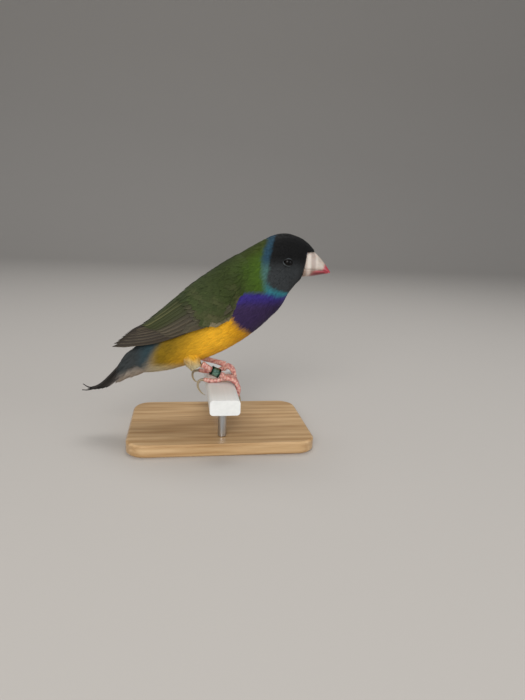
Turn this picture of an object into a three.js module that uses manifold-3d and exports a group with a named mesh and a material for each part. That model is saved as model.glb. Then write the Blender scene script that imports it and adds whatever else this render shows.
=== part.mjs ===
// A black-headed gouldian finch, life size, gripping a short length of flat white perch on a plain display stand.
// Millimetres, +Z up. The bird faces +X, its right side is towards -Y, and the origin is the middle of the base's underside.
// Inside the bird's own group Z is measured from the top of the perch, and X from the perch's middle line.
import * as THREE from "three";
import { mergeVertices } from "three/addons/utils/BufferGeometryUtils.js";
import Module from "manifold-3d";

const wasm = await Module();
wasm.setup();

// Driving dimensions
const gap = 0.3; // kept between touching pieces
const baseLength = 88;
const baseWidth = 58;
const baseThick = 6;
const baseCorner = 9;
const baseBevel = 0.8;
const rodRadius = 2;
const rodSpread = 19; // from the middle of the perch to each rod
const rodHeight = 15; // from the base to the perch
const perchLength = 64;
const perchWidth = 13.5;
const perchDeep = 7;
const perchEdge = 1.5; // radius of the perch's rounded long edges
const perchTop = baseThick + rodHeight + perchDeep;
const eyeRadius = 2.3;
const eyeDepth = 1.5; // from the head's surface in to the eye's centre
const lidRadius = 2.35;
const lidThick = 0.38;
const bandOuter = 2.35;
const bandInner = 1.75;
const bandHeight = 4.5;
const bandPlace = 0.62; // share of the shank's length, from the heel
const bandDrop = 0.25; // how far the loose band hangs below the shank's middle
const bandTilt = 0.1; // and how much flatter than the shank it lies
const vaneThick = 0.6;
const vaneTilt = 0.22; // how far a wing feather's lower edge stands up
const primaryCount = 7;
const secondaryCount = 5;
const tertialCount = 3;
const greaterCount = 6;
const medianCount = 5;
const lesserCount = 4;
const rectrixPairs = 6;

// The body's sections from the bill to the tail's root: a point of the back line, the point of the belly line
// that faces it, and half the width between them. A power below 1 makes a section fuller than an ellipse.
const bodySections = [
  { back: [44.7, 64.0], belly: [41.0, 58.0], half: 3.4, power: 0.85 },
  { back: [40.4, 68.2], belly: [37.4, 50.9], half: 6.1, power: 0.82 },
  { back: [35.8, 70.8], belly: [35.2, 48.4], half: 7.5, power: 0.8 },
  { back: [29.8, 72.2], belly: [33.0, 45.6], half: 8.5, power: 0.8 },
  { back: [23.8, 71.2], belly: [31.4, 43.2], half: 9.3, power: 0.82 },
  { back: [17.4, 67.9], belly: [28.9, 39.4], half: 10.7, power: 0.88 },
  { back: [10.4, 63.7], belly: [24.8, 34.0], half: 12.4, power: 0.94 },
  { back: [2.8, 58.8], belly: [18.9, 27.4], half: 13.8 },
  { back: [-5.4, 53.0], belly: [11.2, 21.2], half: 14.4 },
  { back: [-13.0, 46.6], belly: [2.6, 15.8], half: 13.9 },
  { back: [-20.2, 39.6], belly: [-6.6, 11.4], half: 12.5 },
  { back: [-26.8, 32.4], belly: [-15.6, 7.9], half: 10.5 },
  { back: [-33.0, 25.0], belly: [-24.2, 5.3], half: 8.4 },
  { back: [-38.4, 18.6], belly: [-32.0, 4.0], half: 6.6 },
  { back: [-43.3, 14.2], belly: [-38.4, 3.5], half: 5.2 },
  { back: [-46.9, 8.9], belly: [-43.6, 2.1], half: 4.0 },
  { back: [-49.9, 3.6], belly: [-48.2, -0.1], half: 2.9 },
  { back: [-53.4, -0.5], belly: [-52.8, -1.9], half: 1.5 },
];
// The line of the tail's upper face from its root, under the coverts, to the pins' ends
const tailLine = [
  [-37.2, 15.6], [-42.2, 10.4], [-47.4, 4.6], [-51.2, 0.6], [-55.0, -2.4], [-60.3, -4.2], [-65.8, -4.8],
];
// Station numbers along the body's table where it is parted
const neckStart = 4.7;
const torsoStart = 6.5;
const rumpStart = 12.1;
const tailStart = 13.7;

// The folded wings' outer face, given in the same way, from the shoulder to the tips
const wingSections = [
  { back: [10.6, 63.0], belly: [24.0, 36.0], half: 13.2 },
  { back: [2.9, 58.8], belly: [18.0, 29.5], half: 15.0 },
  { back: [-5.5, 53.2], belly: [10.0, 23.5], half: 15.8 },
  { back: [-13.6, 47.2], belly: [0.0, 20.0], half: 15.6 },
  { back: [-21.3, 40.8], belly: [-10.0, 17.0], half: 14.2 },
  { back: [-28.8, 34.0], belly: [-20.0, 14.5], half: 11.8 },
  { back: [-35.6, 28.2], belly: [-29.5, 13.4], half: 9.0 },
  { back: [-42.0, 24.4], belly: [-37.8, 13.4], half: 6.4 },
  { back: [-47.6, 21.6], belly: [-44.6, 13.4], half: 4.4 },
  { back: [-52.6, 18.4], belly: [-51.0, 13.9], half: 2.8 },
];

// Half of the bill's D-shaped sections from the face to the tip: the ridge, the mouth line and half the width
const upperBill = [
  { ridge: [39.9, 65.2], mouth: [38.5, 56.1], half: 5.1 },
  { ridge: [42.3, 65.0], mouth: [41.3, 55.85], half: 4.8 },
  { ridge: [44.7, 63.5], mouth: [44.0, 55.75], half: 4.2 },
  { ridge: [47.0, 61.5], mouth: [46.6, 55.65], half: 3.4 },
  { ridge: [49.2, 59.2], mouth: [49.0, 55.4], half: 2.4 },
  { ridge: [51.2, 56.7], mouth: [50.8, 54.9], half: 1.4 },
  { ridge: [52.6, 54.9], mouth: [52.4, 54.1], half: 0.45 },
];
const lowerBill = [
  { ridge: [37.9, 51.9], mouth: [38.4, 56.1], half: 4.6 },
  { ridge: [41.0, 52.2], mouth: [41.3, 55.85], half: 4.2 },
  { ridge: [44.0, 52.6], mouth: [44.0, 55.75], half: 3.5 },
  { ridge: [46.8, 53.1], mouth: [46.6, 55.65], half: 2.6 },
  { ridge: [49.4, 53.6], mouth: [49.0, 55.4], half: 1.6 },
  { ridge: [51.7, 54.0], mouth: [51.5, 54.6], half: 0.45 },
];
const faceTop = [39.5, 64.1]; // where the feathers' edge turns from beside the bill to over it
const faceLow = [37.7, 51.5];

// Each leg's side view: foot is its Y, pad the centre and radius of the ball of the foot, and spreads the three front
// toes, with how far each stands aside and its share of the longest one's length.
const legs = {
  right: {
    foot: -7,
    shank: [[-9.3, 9.6], [-5.9, 7.55], [-2.5, 5.55], [0.9, 3.8]],
    pad: [1.5, 2.8, 1.7],
    toes: [[1.2, 3.0], [4.2, 2.9], [6.7, 1.5], [8.0, -1.0]],
    hind: [[1.4, 2.5], [-2.0, 1.35], [-5.6, 1.3], [-8.4, 1.9]],
    hindClaw: [[-8.0, 1.9], [-10.6, 1.2], [-11.2, -1.4], [-9.9, -4.2], [-7.6, -6.2]],
    spreads: [{ aside: 3.2, length: 0.8 }, { aside: -0.6, length: 1 }, { aside: -4.2, length: 0.85 }],
  },
  left: {
    foot: 9,
    shank: [[-9.8, 9.3], [-5.4, 7.6], [-0.8, 6.4], [3.2, 5.1]],
    pad: [3.0, 3.5, 1.9],
    toes: [[3.0, 4.2], [5.4, 3.9], [7.3, 2.1], [8.0, -0.4]],
    hind: [[2.6, 3.0], [-1.5, 1.5], [-6.0, 1.3], [-10.2, 1.9]],
    hindClaw: [[-9.8, 1.9], [-12.8, 1.2], [-13.4, -1.2], [-12.0, -3.9], [-9.2, -4.8]],
    spreads: [{ aside: -3.2, length: 0.8 }, { aside: 0.5, length: 1 }, { aside: 4.0, length: 0.85 }],
  },
};

const wingTint = new THREE.MeshStandardMaterial({ color: 0x46552c, roughness: 0.75 });
const backTint = new THREE.MeshStandardMaterial({ color: 0x4a6420, roughness: 0.75 });
const hoodTint = new THREE.MeshStandardMaterial({ color: 0x17181a, roughness: 0.7 });
const bellyTint = new THREE.MeshStandardMaterial({ color: 0xcf9a1c, roughness: 0.75 });
const rumpTint = new THREE.MeshStandardMaterial({ color: 0x3b5a6c, roughness: 0.75 });
const tailTint = new THREE.MeshStandardMaterial({ color: 0x2b2724, roughness: 0.7 });
const thighTint = new THREE.MeshStandardMaterial({ color: 0xc9bb94, roughness: 0.8 });
const billTint = new THREE.MeshStandardMaterial({ color: 0xe2d3ca, roughness: 0.35 });
const eyeTint = new THREE.MeshStandardMaterial({ color: 0x0c0a09, roughness: 0.08 });
const legTint = new THREE.MeshStandardMaterial({ color: 0xdb9a92, roughness: 0.5 });
const bandTint = new THREE.MeshStandardMaterial({ color: 0x1f4a3a, roughness: 0.3, metalness: 0.9 });
const perchTint = new THREE.MeshStandardMaterial({ color: 0xe6e7e4, roughness: 0.45 });
const rodTint = new THREE.MeshStandardMaterial({ color: 0xb8bbbd, roughness: 0.35, metalness: 1 });
const baseTint = new THREE.MeshStandardMaterial({ color: 0xc9a87a, roughness: 0.5 });

// The value of a smooth curve through a list, at a fractional place in it
function along(list, place) {
  const last = list.length - 1;
  const i = Math.min(Math.max(Math.floor(place), 0), last - 1);
  const f = place - i;
  const at = (k) => list[Math.min(Math.max(k, 0), last)];
  const [a, b, c, d] = [at(i - 1), at(i), at(i + 1), at(i + 2)];
  return b + 0.5 * f * (c - a + f * (2 * a - 5 * b + 4 * c - d + f * (3 * (b - c) + d - a)));
}

function mix(a, b, share) {
  return a + (b - a) * share;
}

// A point of a sectioned surface. turn is the angle from the back line, positive on the bird's left, and lift is the
// height above the surface.
function onSections(sections, place, turn, lift = 0) {
  const read = (key, k) => along(sections.map((s) => s[key][k]), place);
  const back = [read("back", 0), read("back", 1)];
  const belly = [read("belly", 0), read("belly", 1)];
  const half = along(sections.map((s) => s.half), place) + lift;
  const power = along(sections.map((s) => s.power ?? 1), place);
  const round = (x) => Math.sign(x) * Math.abs(x) ** power;
  const deep = Math.hypot(back[0] - belly[0], back[1] - belly[1]) / 2;
  const reach = ((deep + lift) / deep) * round(Math.cos(turn));
  return new THREE.Vector3(
    (back[0] + belly[0]) / 2 + ((back[0] - belly[0]) / 2) * reach,
    half * round(Math.sin(turn)),
    (back[1] + belly[1]) / 2 + ((back[1] - belly[1]) / 2) * reach,
  );
}

// A manifold solid from points and triangles. Its faces are turned to point out.
function solidOf(points, faces) {
  let volume = 0;
  for (const [a, b, c] of faces) {
    volume += points[a].dot(points[b].clone().cross(points[c]));
  }
  const geometry = new THREE.BufferGeometry().setFromPoints(points);
  geometry.setIndex(faces.flatMap(([a, b, c]) => (volume < 0 ? [a, c, b] : [a, b, c])));
  return fromGeometry(geometry);
}

function fromGeometry(geometry) {
  const bare = new THREE.BufferGeometry().setAttribute("position", geometry.getAttribute("position"));
  bare.setIndex(geometry.index);
  const merged = mergeVertices(bare, 1e-4);
  const mesh = new wasm.Mesh({
    numProp: 3,
    vertProperties: new Float32Array(merged.attributes.position.array),
    triVerts: new Uint32Array(merged.index.array),
  });
  return new wasm.Manifold(mesh);
}

// A solid skinned over closed rings of points, with a fan over each end
function loft(rings) {
  const sides = rings[0].length;
  const points = rings.flat();
  const faces = [];
  for (let r = 0; r + 1 < rings.length; r++) {
    for (let k = 0; k < sides; k++) {
      const [a, b] = [r * sides + k, r * sides + ((k + 1) % sides)];
      faces.push([a, b, a + sides], [b, b + sides, a + sides]);
    }
  }
  for (const end of [0, rings.length - 1]) {
    const hub = points.length;
    points.push(rings[end].reduce((sum, p) => sum.add(p), new THREE.Vector3()).divideScalar(sides));
    for (let k = 0; k < sides; k++) {
      const [a, b] = [end * sides + k, end * sides + ((k + 1) % sides)];
      faces.push(end ? [a, b, hub] : [b, a, hub]);
    }
  }
  return solidOf(points, faces);
}

// A thin closed solid between two grids of points, split into triangles alike on both faces
function slab(outer, inner) {
  const rows = outer.length;
  const columns = outer[0].length;
  const points = [...outer.flat(), ...inner.flat()];
  const under = rows * columns;
  const faces = [];
  const wall = (a, b) => faces.push([a, a + under, b], [b, a + under, b + under]);
  for (let r = 0; r + 1 < rows; r++) {
    for (let k = 0; k + 1 < columns; k++) {
      const a = r * columns + k;
      const [b, c, d] = [a + 1, a + columns, a + columns + 1];
      faces.push([a, b, c], [b, d, c]);
      faces.push([a + under, c + under, b + under], [b + under, c + under, d + under]);
    }
  }
  for (let r = 0; r + 1 < rows; r++) {
    wall((r + 1) * columns, r * columns);
    wall(r * columns + columns - 1, (r + 1) * columns + columns - 1);
  }
  for (let k = 0; k + 1 < columns; k++) {
    wall(k, k + 1);
    wall((rows - 1) * columns + k + 1, (rows - 1) * columns + k);
  }
  return solidOf(points, faces);
}

// A round tapering solid along a smooth path, from a list of its radii
function limb(path, radii, rings, sides) {
  const curve = new THREE.CatmullRomCurve3(path.map((p) => new THREE.Vector3(...p)), false, "centripetal");
  const frames = curve.computeFrenetFrames(rings);
  const made = [];
  for (let r = 0; r <= rings; r++) {
    const centre = curve.getPointAt(r / rings);
    const radius = along(radii, (r / rings) * (radii.length - 1));
    const ring = [];
    for (let k = 0; k < sides; k++) {
      const turn = (2 * Math.PI * k) / sides;
      const out = frames.normals[r].clone().multiplyScalar(Math.cos(turn) * radius);
      ring.push(out.addScaledVector(frames.binormals[r], Math.sin(turn) * radius).add(centre));
    }
    made.push(ring);
  }
  return loft(made);
}

function ball(centre, radius, sides = 14) {
  const sphere = new THREE.SphereGeometry(radius, sides, Math.round(sides * 0.6));
  return fromGeometry(sphere.applyMatrix4(new THREE.Matrix4().makeTranslation(...centre)));
}

// The largest closed body of a union
function join(solids) {
  const bodies = wasm.Manifold.union(solids).decompose();
  return bodies.reduce((best, body) => (body.volume() > best.volume() ? body : best));
}

function meshOf(name, solid, material) {
  const { numProp, vertProperties, triVerts } = solid.getMesh();
  const position = new Float32Array((vertProperties.length / numProp) * 3);
  for (let i = 0; i < position.length / 3; i++) {
    position.set(vertProperties.subarray(i * numProp, i * numProp + 3), i * 3);
  }
  const geometry = new THREE.BufferGeometry();
  geometry.setAttribute("position", new THREE.BufferAttribute(position, 3));
  geometry.setIndex(new THREE.BufferAttribute(triVerts, 1));
  geometry.computeVertexNormals();
  const mesh = new THREE.Mesh(geometry, material);
  mesh.name = name;
  return mesh;
}

// One closed ring of the body at a station, moved along the body until it lies in a plane shift past the station
function bodyRing(place, sides, lift, shift) {
  const back = onSections(bodySections, place, 0);
  const belly = onSections(bodySections, place, Math.PI);
  const normal = new THREE.Vector3(back.z - belly.z, 0, belly.x - back.x).normalize().negate();
  const ring = [];
  for (let k = 0; k < sides; k++) {
    const turn = (2 * Math.PI * k) / sides;
    const point = onSections(bodySections, place, turn, lift);
    const next = onSections(bodySections, place + 0.05, turn, lift).sub(point);
    ring.push(point.addScaledVector(next, shift / next.dot(normal)));
  }
  return ring;
}

// A length of the body between two stations. An end that meets another piece stands half the gap short of its station.
function bodyLength(from, to, count, lift = 0, trim = [gap / 2, -gap / 2], sides = 28) {
  const rings = [];
  for (let r = 0; r <= count; r++) {
    const shift = r === 0 ? trim[0] : r === count ? trim[1] : 0;
    rings.push(bodyRing(mix(from, to, r / count), sides, lift, shift));
  }
  return loft(rings);
}

// D-shaped rings of one half of the bill. grow thickens it all round, and side is 1 for the upper half, -1 for the lower.
function billHalf(sections, side, grow = 0) {
  const steps = 6;
  const rings = sections.map(({ ridge, mouth, half }, i) => {
    const up = new THREE.Vector2(ridge[0] - mouth[0], ridge[1] - mouth[1]);
    const deep = up.length();
    up.normalize();
    const push = i === 0 ? -grow : i === sections.length - 1 ? grow : 0;
    const floor = gap / 2 - grow;
    const ring = [];
    for (let k = 0; k <= 2 * steps; k++) {
      const turn = (Math.PI * k) / (2 * steps);
      const high = floor + (deep + grow - floor) * Math.sin(turn) ** 0.9;
      const wide = (half + grow) * Math.cos(turn) * (1 + 0.1 * Math.sin(turn));
      ring.push(new THREE.Vector3(mouth[0] + up.x * high + push, wide * side, mouth[1] + up.y * high));
    }
    return ring;
  });
  return loft(rings);
}

// The block that the face's feathers leave free for the bill
function faceOpening() {
  const long = 30;
  const lean = Math.atan2(faceTop[0] - faceLow[0], faceTop[1] - faceLow[1]);
  const block = new THREE.BoxGeometry(long, long, long);
  block.translate(long / 2, 0, -long / 2);
  block.rotateY(lean);
  block.translate(faceTop[0], 0, faceTop[1]);
  return fromGeometry(block);
}

// The eye's centre and the outward direction there, for the right side (-1) or the left (1)
function eyePlace(side) {
  const place = 3.38;
  const turn = side * THREE.MathUtils.degToRad(88.5);
  const surface = onSections(bodySections, place, turn);
  const ahead = onSections(bodySections, place - 0.05, turn).sub(surface);
  const around = onSections(bodySections, place, turn + 0.05).sub(surface);
  const out = ahead.cross(around).normalize();
  if (out.y * side < 0) {
    out.negate();
  }
  return { centre: surface.clone().addScaledVector(out, -eyeDepth), surface, out };
}

function lidRing(side) {
  const { surface, out } = eyePlace(side);
  const ring = new THREE.TorusGeometry(lidRadius, lidThick, 5, 18);
  ring.scale(1.1, 0.8, 1);
  ring.applyQuaternion(new THREE.Quaternion().setFromUnitVectors(new THREE.Vector3(0, 0, 1), out));
  ring.translate(...surface.clone().addScaledVector(out, 0.05));
  return fromGeometry(ring);
}

function head() {
  let made = bodyLength(0, neckStart, 11, 0, [0, -gap / 2]);
  made = join([made, lidRing(-1), lidRing(1)]);
  for (const side of [-1, 1]) {
    made = made.subtract(ball(eyePlace(side).centre, eyeRadius + gap));
  }
  made = made.subtract(faceOpening()).subtract(billHalf(upperBill, 1, gap));
  return join([made]);
}

function upperBillSolid() {
  let made = billHalf(upperBill, 1);
  for (const side of [-1, 1]) {
    made = made.subtract(ball([43.1, side * 3.2, 62.3], 0.55, 8));
  }
  return made;
}

// One feather as a thin plate. at(share, across, down) gives its points: share runs from root to tip, across from -1 to 1
// over the width that shape gives there, and down is the depth below its outer face.
function vane(at, shape, acrosses = [-1, 1]) {
  const outer = [];
  const inner = [];
  const last = shape.length - 1;
  shape.forEach((wide, r) => {
    const share = 1 - (1 - r / last) ** 1.25;
    outer.push(acrosses.map((u) => at(share, u * wide, u === 0 ? -0.12 : 0)));
    inner.push(acrosses.map((u) => at(share, u * wide, vaneThick)));
  });
  return slab(outer, inner);
}

// A feather on the folded wing. Its root and tip are each a place along the wing's sections and a turn in degrees from
// the back line. The edge nearer the belly stands up over the next feather, and the root sinks into the wing.
function wingFeather(side, { root, tip, half, lift, sink, shape, acrosses }) {
  const at = (share, across, down) => {
    const place = mix(root[0], tip[0], share);
    const radius = Math.max(along(wingSections.map((s) => s.half), place), 2.8);
    const turn = THREE.MathUtils.degToRad(mix(root[1], tip[1], share)) + (across * half) / radius;
    const up = lift - sink * (1 - share) ** 2 + vaneTilt * across;
    return onSections(wingSections, place, side * turn, up - down);
  };
  return vane(at, shape, acrosses);
}

// One tier of wing feathers, mixed from the one nearest the back to the one nearest the belly
function tier(side, count, from, to, { shape, acrosses, sink = 0.7 }) {
  const made = [];
  for (let i = 0; i < count; i++) {
    const share = count > 1 ? i / (count - 1) : 0;
    const pair = (key) => [mix(from[key][0], to[key][0], share), mix(from[key][1], to[key][1], share)];
    const half = mix(from.half, to.half, share);
    const lift = mix(from.lift, to.lift, share);
    made.push(wingFeather(side, { root: pair("root"), tip: pair("tip"), half, lift, sink, shape, acrosses }));
  }
  return made;
}

// The part of the wing that the feathers grow from, under its coverts
function wingCore(side) {
  const outer = [];
  const inner = [];
  const lows = [90, 105, 105, 101, 97, 93];
  const lifts = [-0.5, 0.7, 0.6, 0.5, 0.4, 0.2];
  lows.forEach((low, r) => {
    const place = mix(1.35, 4.6, r / (lows.length - 1));
    const turns = [16, 40, 65, 85, low].map((t) => side * THREE.MathUtils.degToRad(t));
    outer.push(turns.map((t) => onSections(wingSections, place, t, lifts[r])));
    inner.push(turns.map((t) => onSections(wingSections, place, t, -0.9)));
  });
  return slab(outer, inner);
}

// One folded wing. side is -1 for the right wing and 1 for the left.
function wing(side) {
  const covert = { shape: [0.8, 1, 0.85, 0.3] };
  const front = { shape: [0.8, 1, 0.85, 0.3], sink: 1.9 };
  const flight = { shape: [0.7, 0.98, 0.85, 0.16] };
  const tertial = { shape: [0.7, 1, 0.85, 0.25], acrosses: [-1, 0, 1] };
  return [
    wingCore(side),
    ...tier(side, primaryCount,
      { root: [3.8, 70], tip: [7.0, 24], half: 2.1, lift: 0.55 },
      { root: [3.0, 97], tip: [8.8, 75], half: 1.7, lift: 0.3 }, flight),
    ...tier(side, secondaryCount,
      { root: [3.4, 40], tip: [6.15, 33], half: 2.9, lift: 0.85 },
      { root: [2.8, 90], tip: [5.3, 84], half: 2.4, lift: 0.6 }, flight),
    ...tier(side, tertialCount,
      { root: [3.2, 14], tip: [5.0, 13], half: 3.1, lift: 1.3 },
      { root: [3.3, 36], tip: [6.2, 28], half: 3.1, lift: 1.05 }, tertial),
    ...tier(side, 3,
      { root: [2.6, 92], tip: [4.2, 86], half: 1.8, lift: 0.9 },
      { root: [2.3, 101], tip: [4.5, 92], half: 1.6, lift: 0.75 }, covert),
    ...tier(side, greaterCount,
      { root: [2.2, 20], tip: [4.1, 20], half: 3.2, lift: 1.4 },
      { root: [1.9, 90], tip: [3.7, 88], half: 2.5, lift: 1.1 }, covert),
    ...tier(side, medianCount,
      { root: [1.6, 22], tip: [3.1, 20], half: 3.4, lift: 1.65 },
      { root: [1.6, 87], tip: [2.8, 90], half: 2.7, lift: 1.35 }, covert),
    ...tier(side, lesserCount,
      { root: [1.2, 26], tip: [2.3, 26], half: 4.0, lift: 1.8 },
      { root: [1.3, 86], tip: [2.3, 93], half: 3.2, lift: 1.55 }, front),
    wingFeather(side, { root: [1.6, 97], tip: [3.1, 99], half: 1.7, lift: 1.1, ...front }),
  ];
}

// A tail feather. i counts from the middle pair outwards, and side is its side of the tail.
function rectrix(side, i) {
  const line = new THREE.CatmullRomCurve3(
    tailLine.map(([x, z]) => new THREE.Vector3(x, 0, z)),
    false,
    "centripetal",
  );
  const end = 0.94 - 0.075 * i;
  const at = (share, across, down) => {
    const place = share * end;
    const point = line.getPointAt(place);
    const way = line.getTangentAt(place);
    const y = side * (0.9 + i * (0.25 + 0.42 * share)) + across * 1.9;
    const low = down + 0.3 * i - 0.14 * across * side + 0.015 * y * y;
    return point.add(new THREE.Vector3(way.z * low, y, -way.x * low));
  };
  return vane(at, [0.65, 1, 0.88, 0.22]);
}

// The two middle tail feathers end in fine bare pins, and one of them turns up at its end.
function pin(side) {
  const rise = side > 0 ? 2.2 : 0;
  const path = [[-56.5, -3.4], [-60.0, -4.4], [-63.2, -4.8 + 0.3 * rise], [-65.8, -4.7 + rise]];
  return limb(path.map(([x, z], i) => [x, side * (0.9 + 0.15 * i), z]), [0.5, 0.4, 0.3, 0.22], 5, 6);
}

// Short feathers over (1) or under (-1) the tail's root
function tailCovert(face, side, i) {
  const end = face > 0 ? 15.5 - 0.5 * i : 16.5 - 0.6 * i;
  const at = (share, across, down) => {
    const place = mix(13.8, end, share);
    const radius = Math.max(along(bodySections.map((s) => s.half), place), 2);
    const turn = (face > 0 ? 0 : Math.PI) + side * face * (0.3 + 0.6 * i) + (across * 2.0) / radius;
    return onSections(bodySections, place, turn, 0.7 - down - 0.9 * (1 - share) ** 2);
  };
  return vane(at, [0.8, 1, 0.75, 0.2]);
}

function tail() {
  const made = [bodyLength(tailStart, 17, 5, 0, [gap / 2, 0], 16)];
  for (const side of [-1, 1]) {
    for (let i = 0; i < rectrixPairs; i++) {
      made.push(rectrix(side, i));
    }
    made.push(pin(side));
    for (const face of [1, -1]) {
      made.push(tailCovert(face, side, 0), tailCovert(face, side, 1));
    }
  }
  const rump = bodyLength(rumpStart - 1, tailStart, 4, 3, [0, gap / 2], 18);
  return join([join(made).subtract(rump)]);
}

// The path of a leg's part from its points in the side view
function legPath(points, y) {
  return points.map(([x, z]) => [x, y, z]);
}

// The feathered upper leg, from inside the belly to just above the heel
function thighSolid({ foot, shank }, lift = 0) {
  const [heelX, heelZ] = shank[0];
  const path = [[-15.5, foot * 0.68, 16.5], [-13.4, foot * 0.84, 12], [heelX - 1.4, foot, heelZ - 1.4]];
  return limb(path, [5.0, 4.0, 2.0].map((r) => r + lift), 5, 14);
}

// The bare shank, from the heel to the root of the toes
function shankSolid({ foot, shank }, lift = 0) {
  const radii = [1.5, 1.15, 1.05, 1.05, 1.1, 1.35].map((r) => r + lift);
  return limb(legPath(shank, foot), radii, 7, 10);
}

function perchSolid(grow = 0) {
  const [w, d] = [perchWidth / 2 + grow, perchDeep + 2 * grow];
  return fromGeometry(roundedBlock(2 * w, d, perchLength + 2 * grow, perchEdge + grow, 3, 0))
    .rotate([90, 0, 0])
    .translate([0, perchLength / 2 + grow, -perchDeep / 2]);
}

// A block with rounded corners, extruded along Z from 0
function roundedBlock(width, height, length, corner, curveSegments, bevel) {
  const [w, h, r] = [width / 2 - bevel, height / 2 - bevel, corner - bevel];
  const shape = new THREE.Shape();
  shape.moveTo(-w + r, -h);
  shape.lineTo(w - r, -h);
  shape.absarc(w - r, -h + r, r, -Math.PI / 2, 0);
  shape.absarc(w - r, h - r, r, 0, Math.PI / 2);
  shape.absarc(-w + r, h - r, r, Math.PI / 2, Math.PI);
  shape.absarc(-w + r, -h + r, r, Math.PI, (3 * Math.PI) / 2);
  return new THREE.ExtrudeGeometry(shape, {
    depth: length - 2 * bevel,
    curveSegments,
    bevelEnabled: bevel > 0,
    bevelThickness: bevel,
    bevelSize: bevel,
    bevelSegments: 1,
    steps: 1,
  }).translate(0, 0, bevel);
}

// A foot: three toes over the perch's front edge, the hind toe over its rear edge, and their claws
function footSolid({ foot, pad, toes, hind, hindClaw, spreads }) {
  const parts = [ball([pad[0], foot, pad[1]], pad[2], 10)];
  for (const { aside, length } of spreads) {
    const down = -6.2 * length;
    const asides = [0, 0.5, 0.8, 0.92, 1];
    const toe = [...toes, [8.05, down]].map(([x, z], i) => [x, foot + aside * asides[i], z]);
    parts.push(limb(toe, [1.1, 1.0, 0.92, 1.02, 0.85, 0.98, 0.8], 9, 7));
    const claw = [[8.05, down + 0.5], [8.8, down - 1.1], [8.8, down - 2.5], [8.0, down - 3.7]];
    parts.push(limb(legPath(claw, foot + aside), [0.6, 0.5, 0.36, 0.14], 4, 6));
  }
  parts.push(limb(legPath(hind, foot + 0.4), [1.0, 0.95, 0.85, 0.98, 0.8], 7, 7));
  parts.push(limb(legPath(hindClaw, foot + 0.4), [0.65, 0.6, 0.5, 0.36, 0.14], 6, 6));
  return join(parts);
}

// Half of space, which keeps one wing clear of the other
function sideBlock(side) {
  const block = new THREE.BoxGeometry(200, 100, 200);
  return fromGeometry(block.translate(0, side * (50 + gap / 2), 0));
}

function band({ foot, shank }) {
  const rim = 0.12;
  const [r0, r1, h] = [bandInner, bandOuter, bandHeight / 2];
  const profile = [
    [r0, -h], [r1, -h], [r1, -h + 0.5], [r1 - rim, -h + 0.7], [r1 - rim, h - 0.7], [r1, h - 0.5], [r1, h], [r0, h], [r0, -h],
  ];
  const ring = new THREE.LatheGeometry(profile.map((p) => new THREE.Vector2(...p)), 22);
  const path = legPath(shank, foot);
  const [heel, toes] = [new THREE.Vector3(...path[0]), new THREE.Vector3(...path[3])];
  const way = toes.clone().sub(heel).normalize();
  way.z += bandTilt;
  way.normalize();
  ring.applyQuaternion(new THREE.Quaternion().setFromUnitVectors(new THREE.Vector3(0, 1, 0), way));
  const centre = heel.clone().lerp(toes, bandPlace);
  ring.translate(centre.x, centre.y, centre.z - bandDrop);
  return fromGeometry(ring);
}

const bird = new THREE.Group();
bird.position.z = perchTop;
const torso = bodyLength(torsoStart, rumpStart, 12);
const torsoCutter = bodyLength(torsoStart - 0.5, rumpStart + 0.5, 14, gap, [0, 0]);
const bodyCutter = bodyLength(torsoStart - 2, tailStart + 1, 22, gap, [0, 0]);
const perchCutter = perchSolid(gap);
bird.add(
  meshOf("head", head(), hoodTint),
  meshOf("neck", bodyLength(neckStart, torsoStart, 4), backTint),
  meshOf("torso", torso, bellyTint),
  meshOf("rump", bodyLength(rumpStart, tailStart, 3), rumpTint),
  meshOf("tail", tail(), tailTint),
  meshOf("bill_upper", upperBillSolid(), billTint),
  meshOf("bill_lower", billHalf(lowerBill, -1), billTint),
);
for (const [name, side] of [["right", -1], ["left", 1]]) {
  const leg = legs[name];
  const thigh = thighSolid(leg);
  const shank = shankSolid(leg).subtract(thighSolid(leg, gap)).subtract(torsoCutter);
  const foot = footSolid(leg).subtract(shankSolid(leg, gap)).subtract(perchCutter);
  const feathers = join(wing(side)).subtract(bodyCutter).intersect(sideBlock(side));
  bird.add(
    meshOf("eye_" + name, ball(eyePlace(side).centre, eyeRadius), eyeTint),
    meshOf("wing_" + name, join([feathers]), wingTint),
    meshOf("thigh_" + name, join([thigh.subtract(torsoCutter)]), thighTint),
    meshOf("shank_" + name, join([shank]), legTint),
    meshOf("foot_" + name, join([foot]), legTint),
  );
}
bird.add(meshOf("leg_band", band(legs.right), bandTint));
bird.add(meshOf("perch", perchSolid(), perchTint));

const base = roundedBlock(baseLength, baseWidth, baseThick, baseCorner, 6, baseBevel);
const stand = new THREE.Group();
stand.add(meshOf("stand_base", fromGeometry(base), baseTint));
for (const [name, y] of [["near", -rodSpread], ["far", rodSpread]]) {
  const rod = new THREE.CylinderGeometry(rodRadius, rodRadius, rodHeight - 2 * gap, 24);
  rod.rotateX(Math.PI / 2);
  const mesh = meshOf("stand_rod_" + name, fromGeometry(rod), rodTint);
  mesh.position.set(0, y, baseThick + rodHeight / 2);
  stand.add(mesh);
}

const model = new THREE.Group();
model.add(bird, stand);
export default model;
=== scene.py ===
import bpy
import numpy as np
from mathutils import Matrix, Vector


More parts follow.
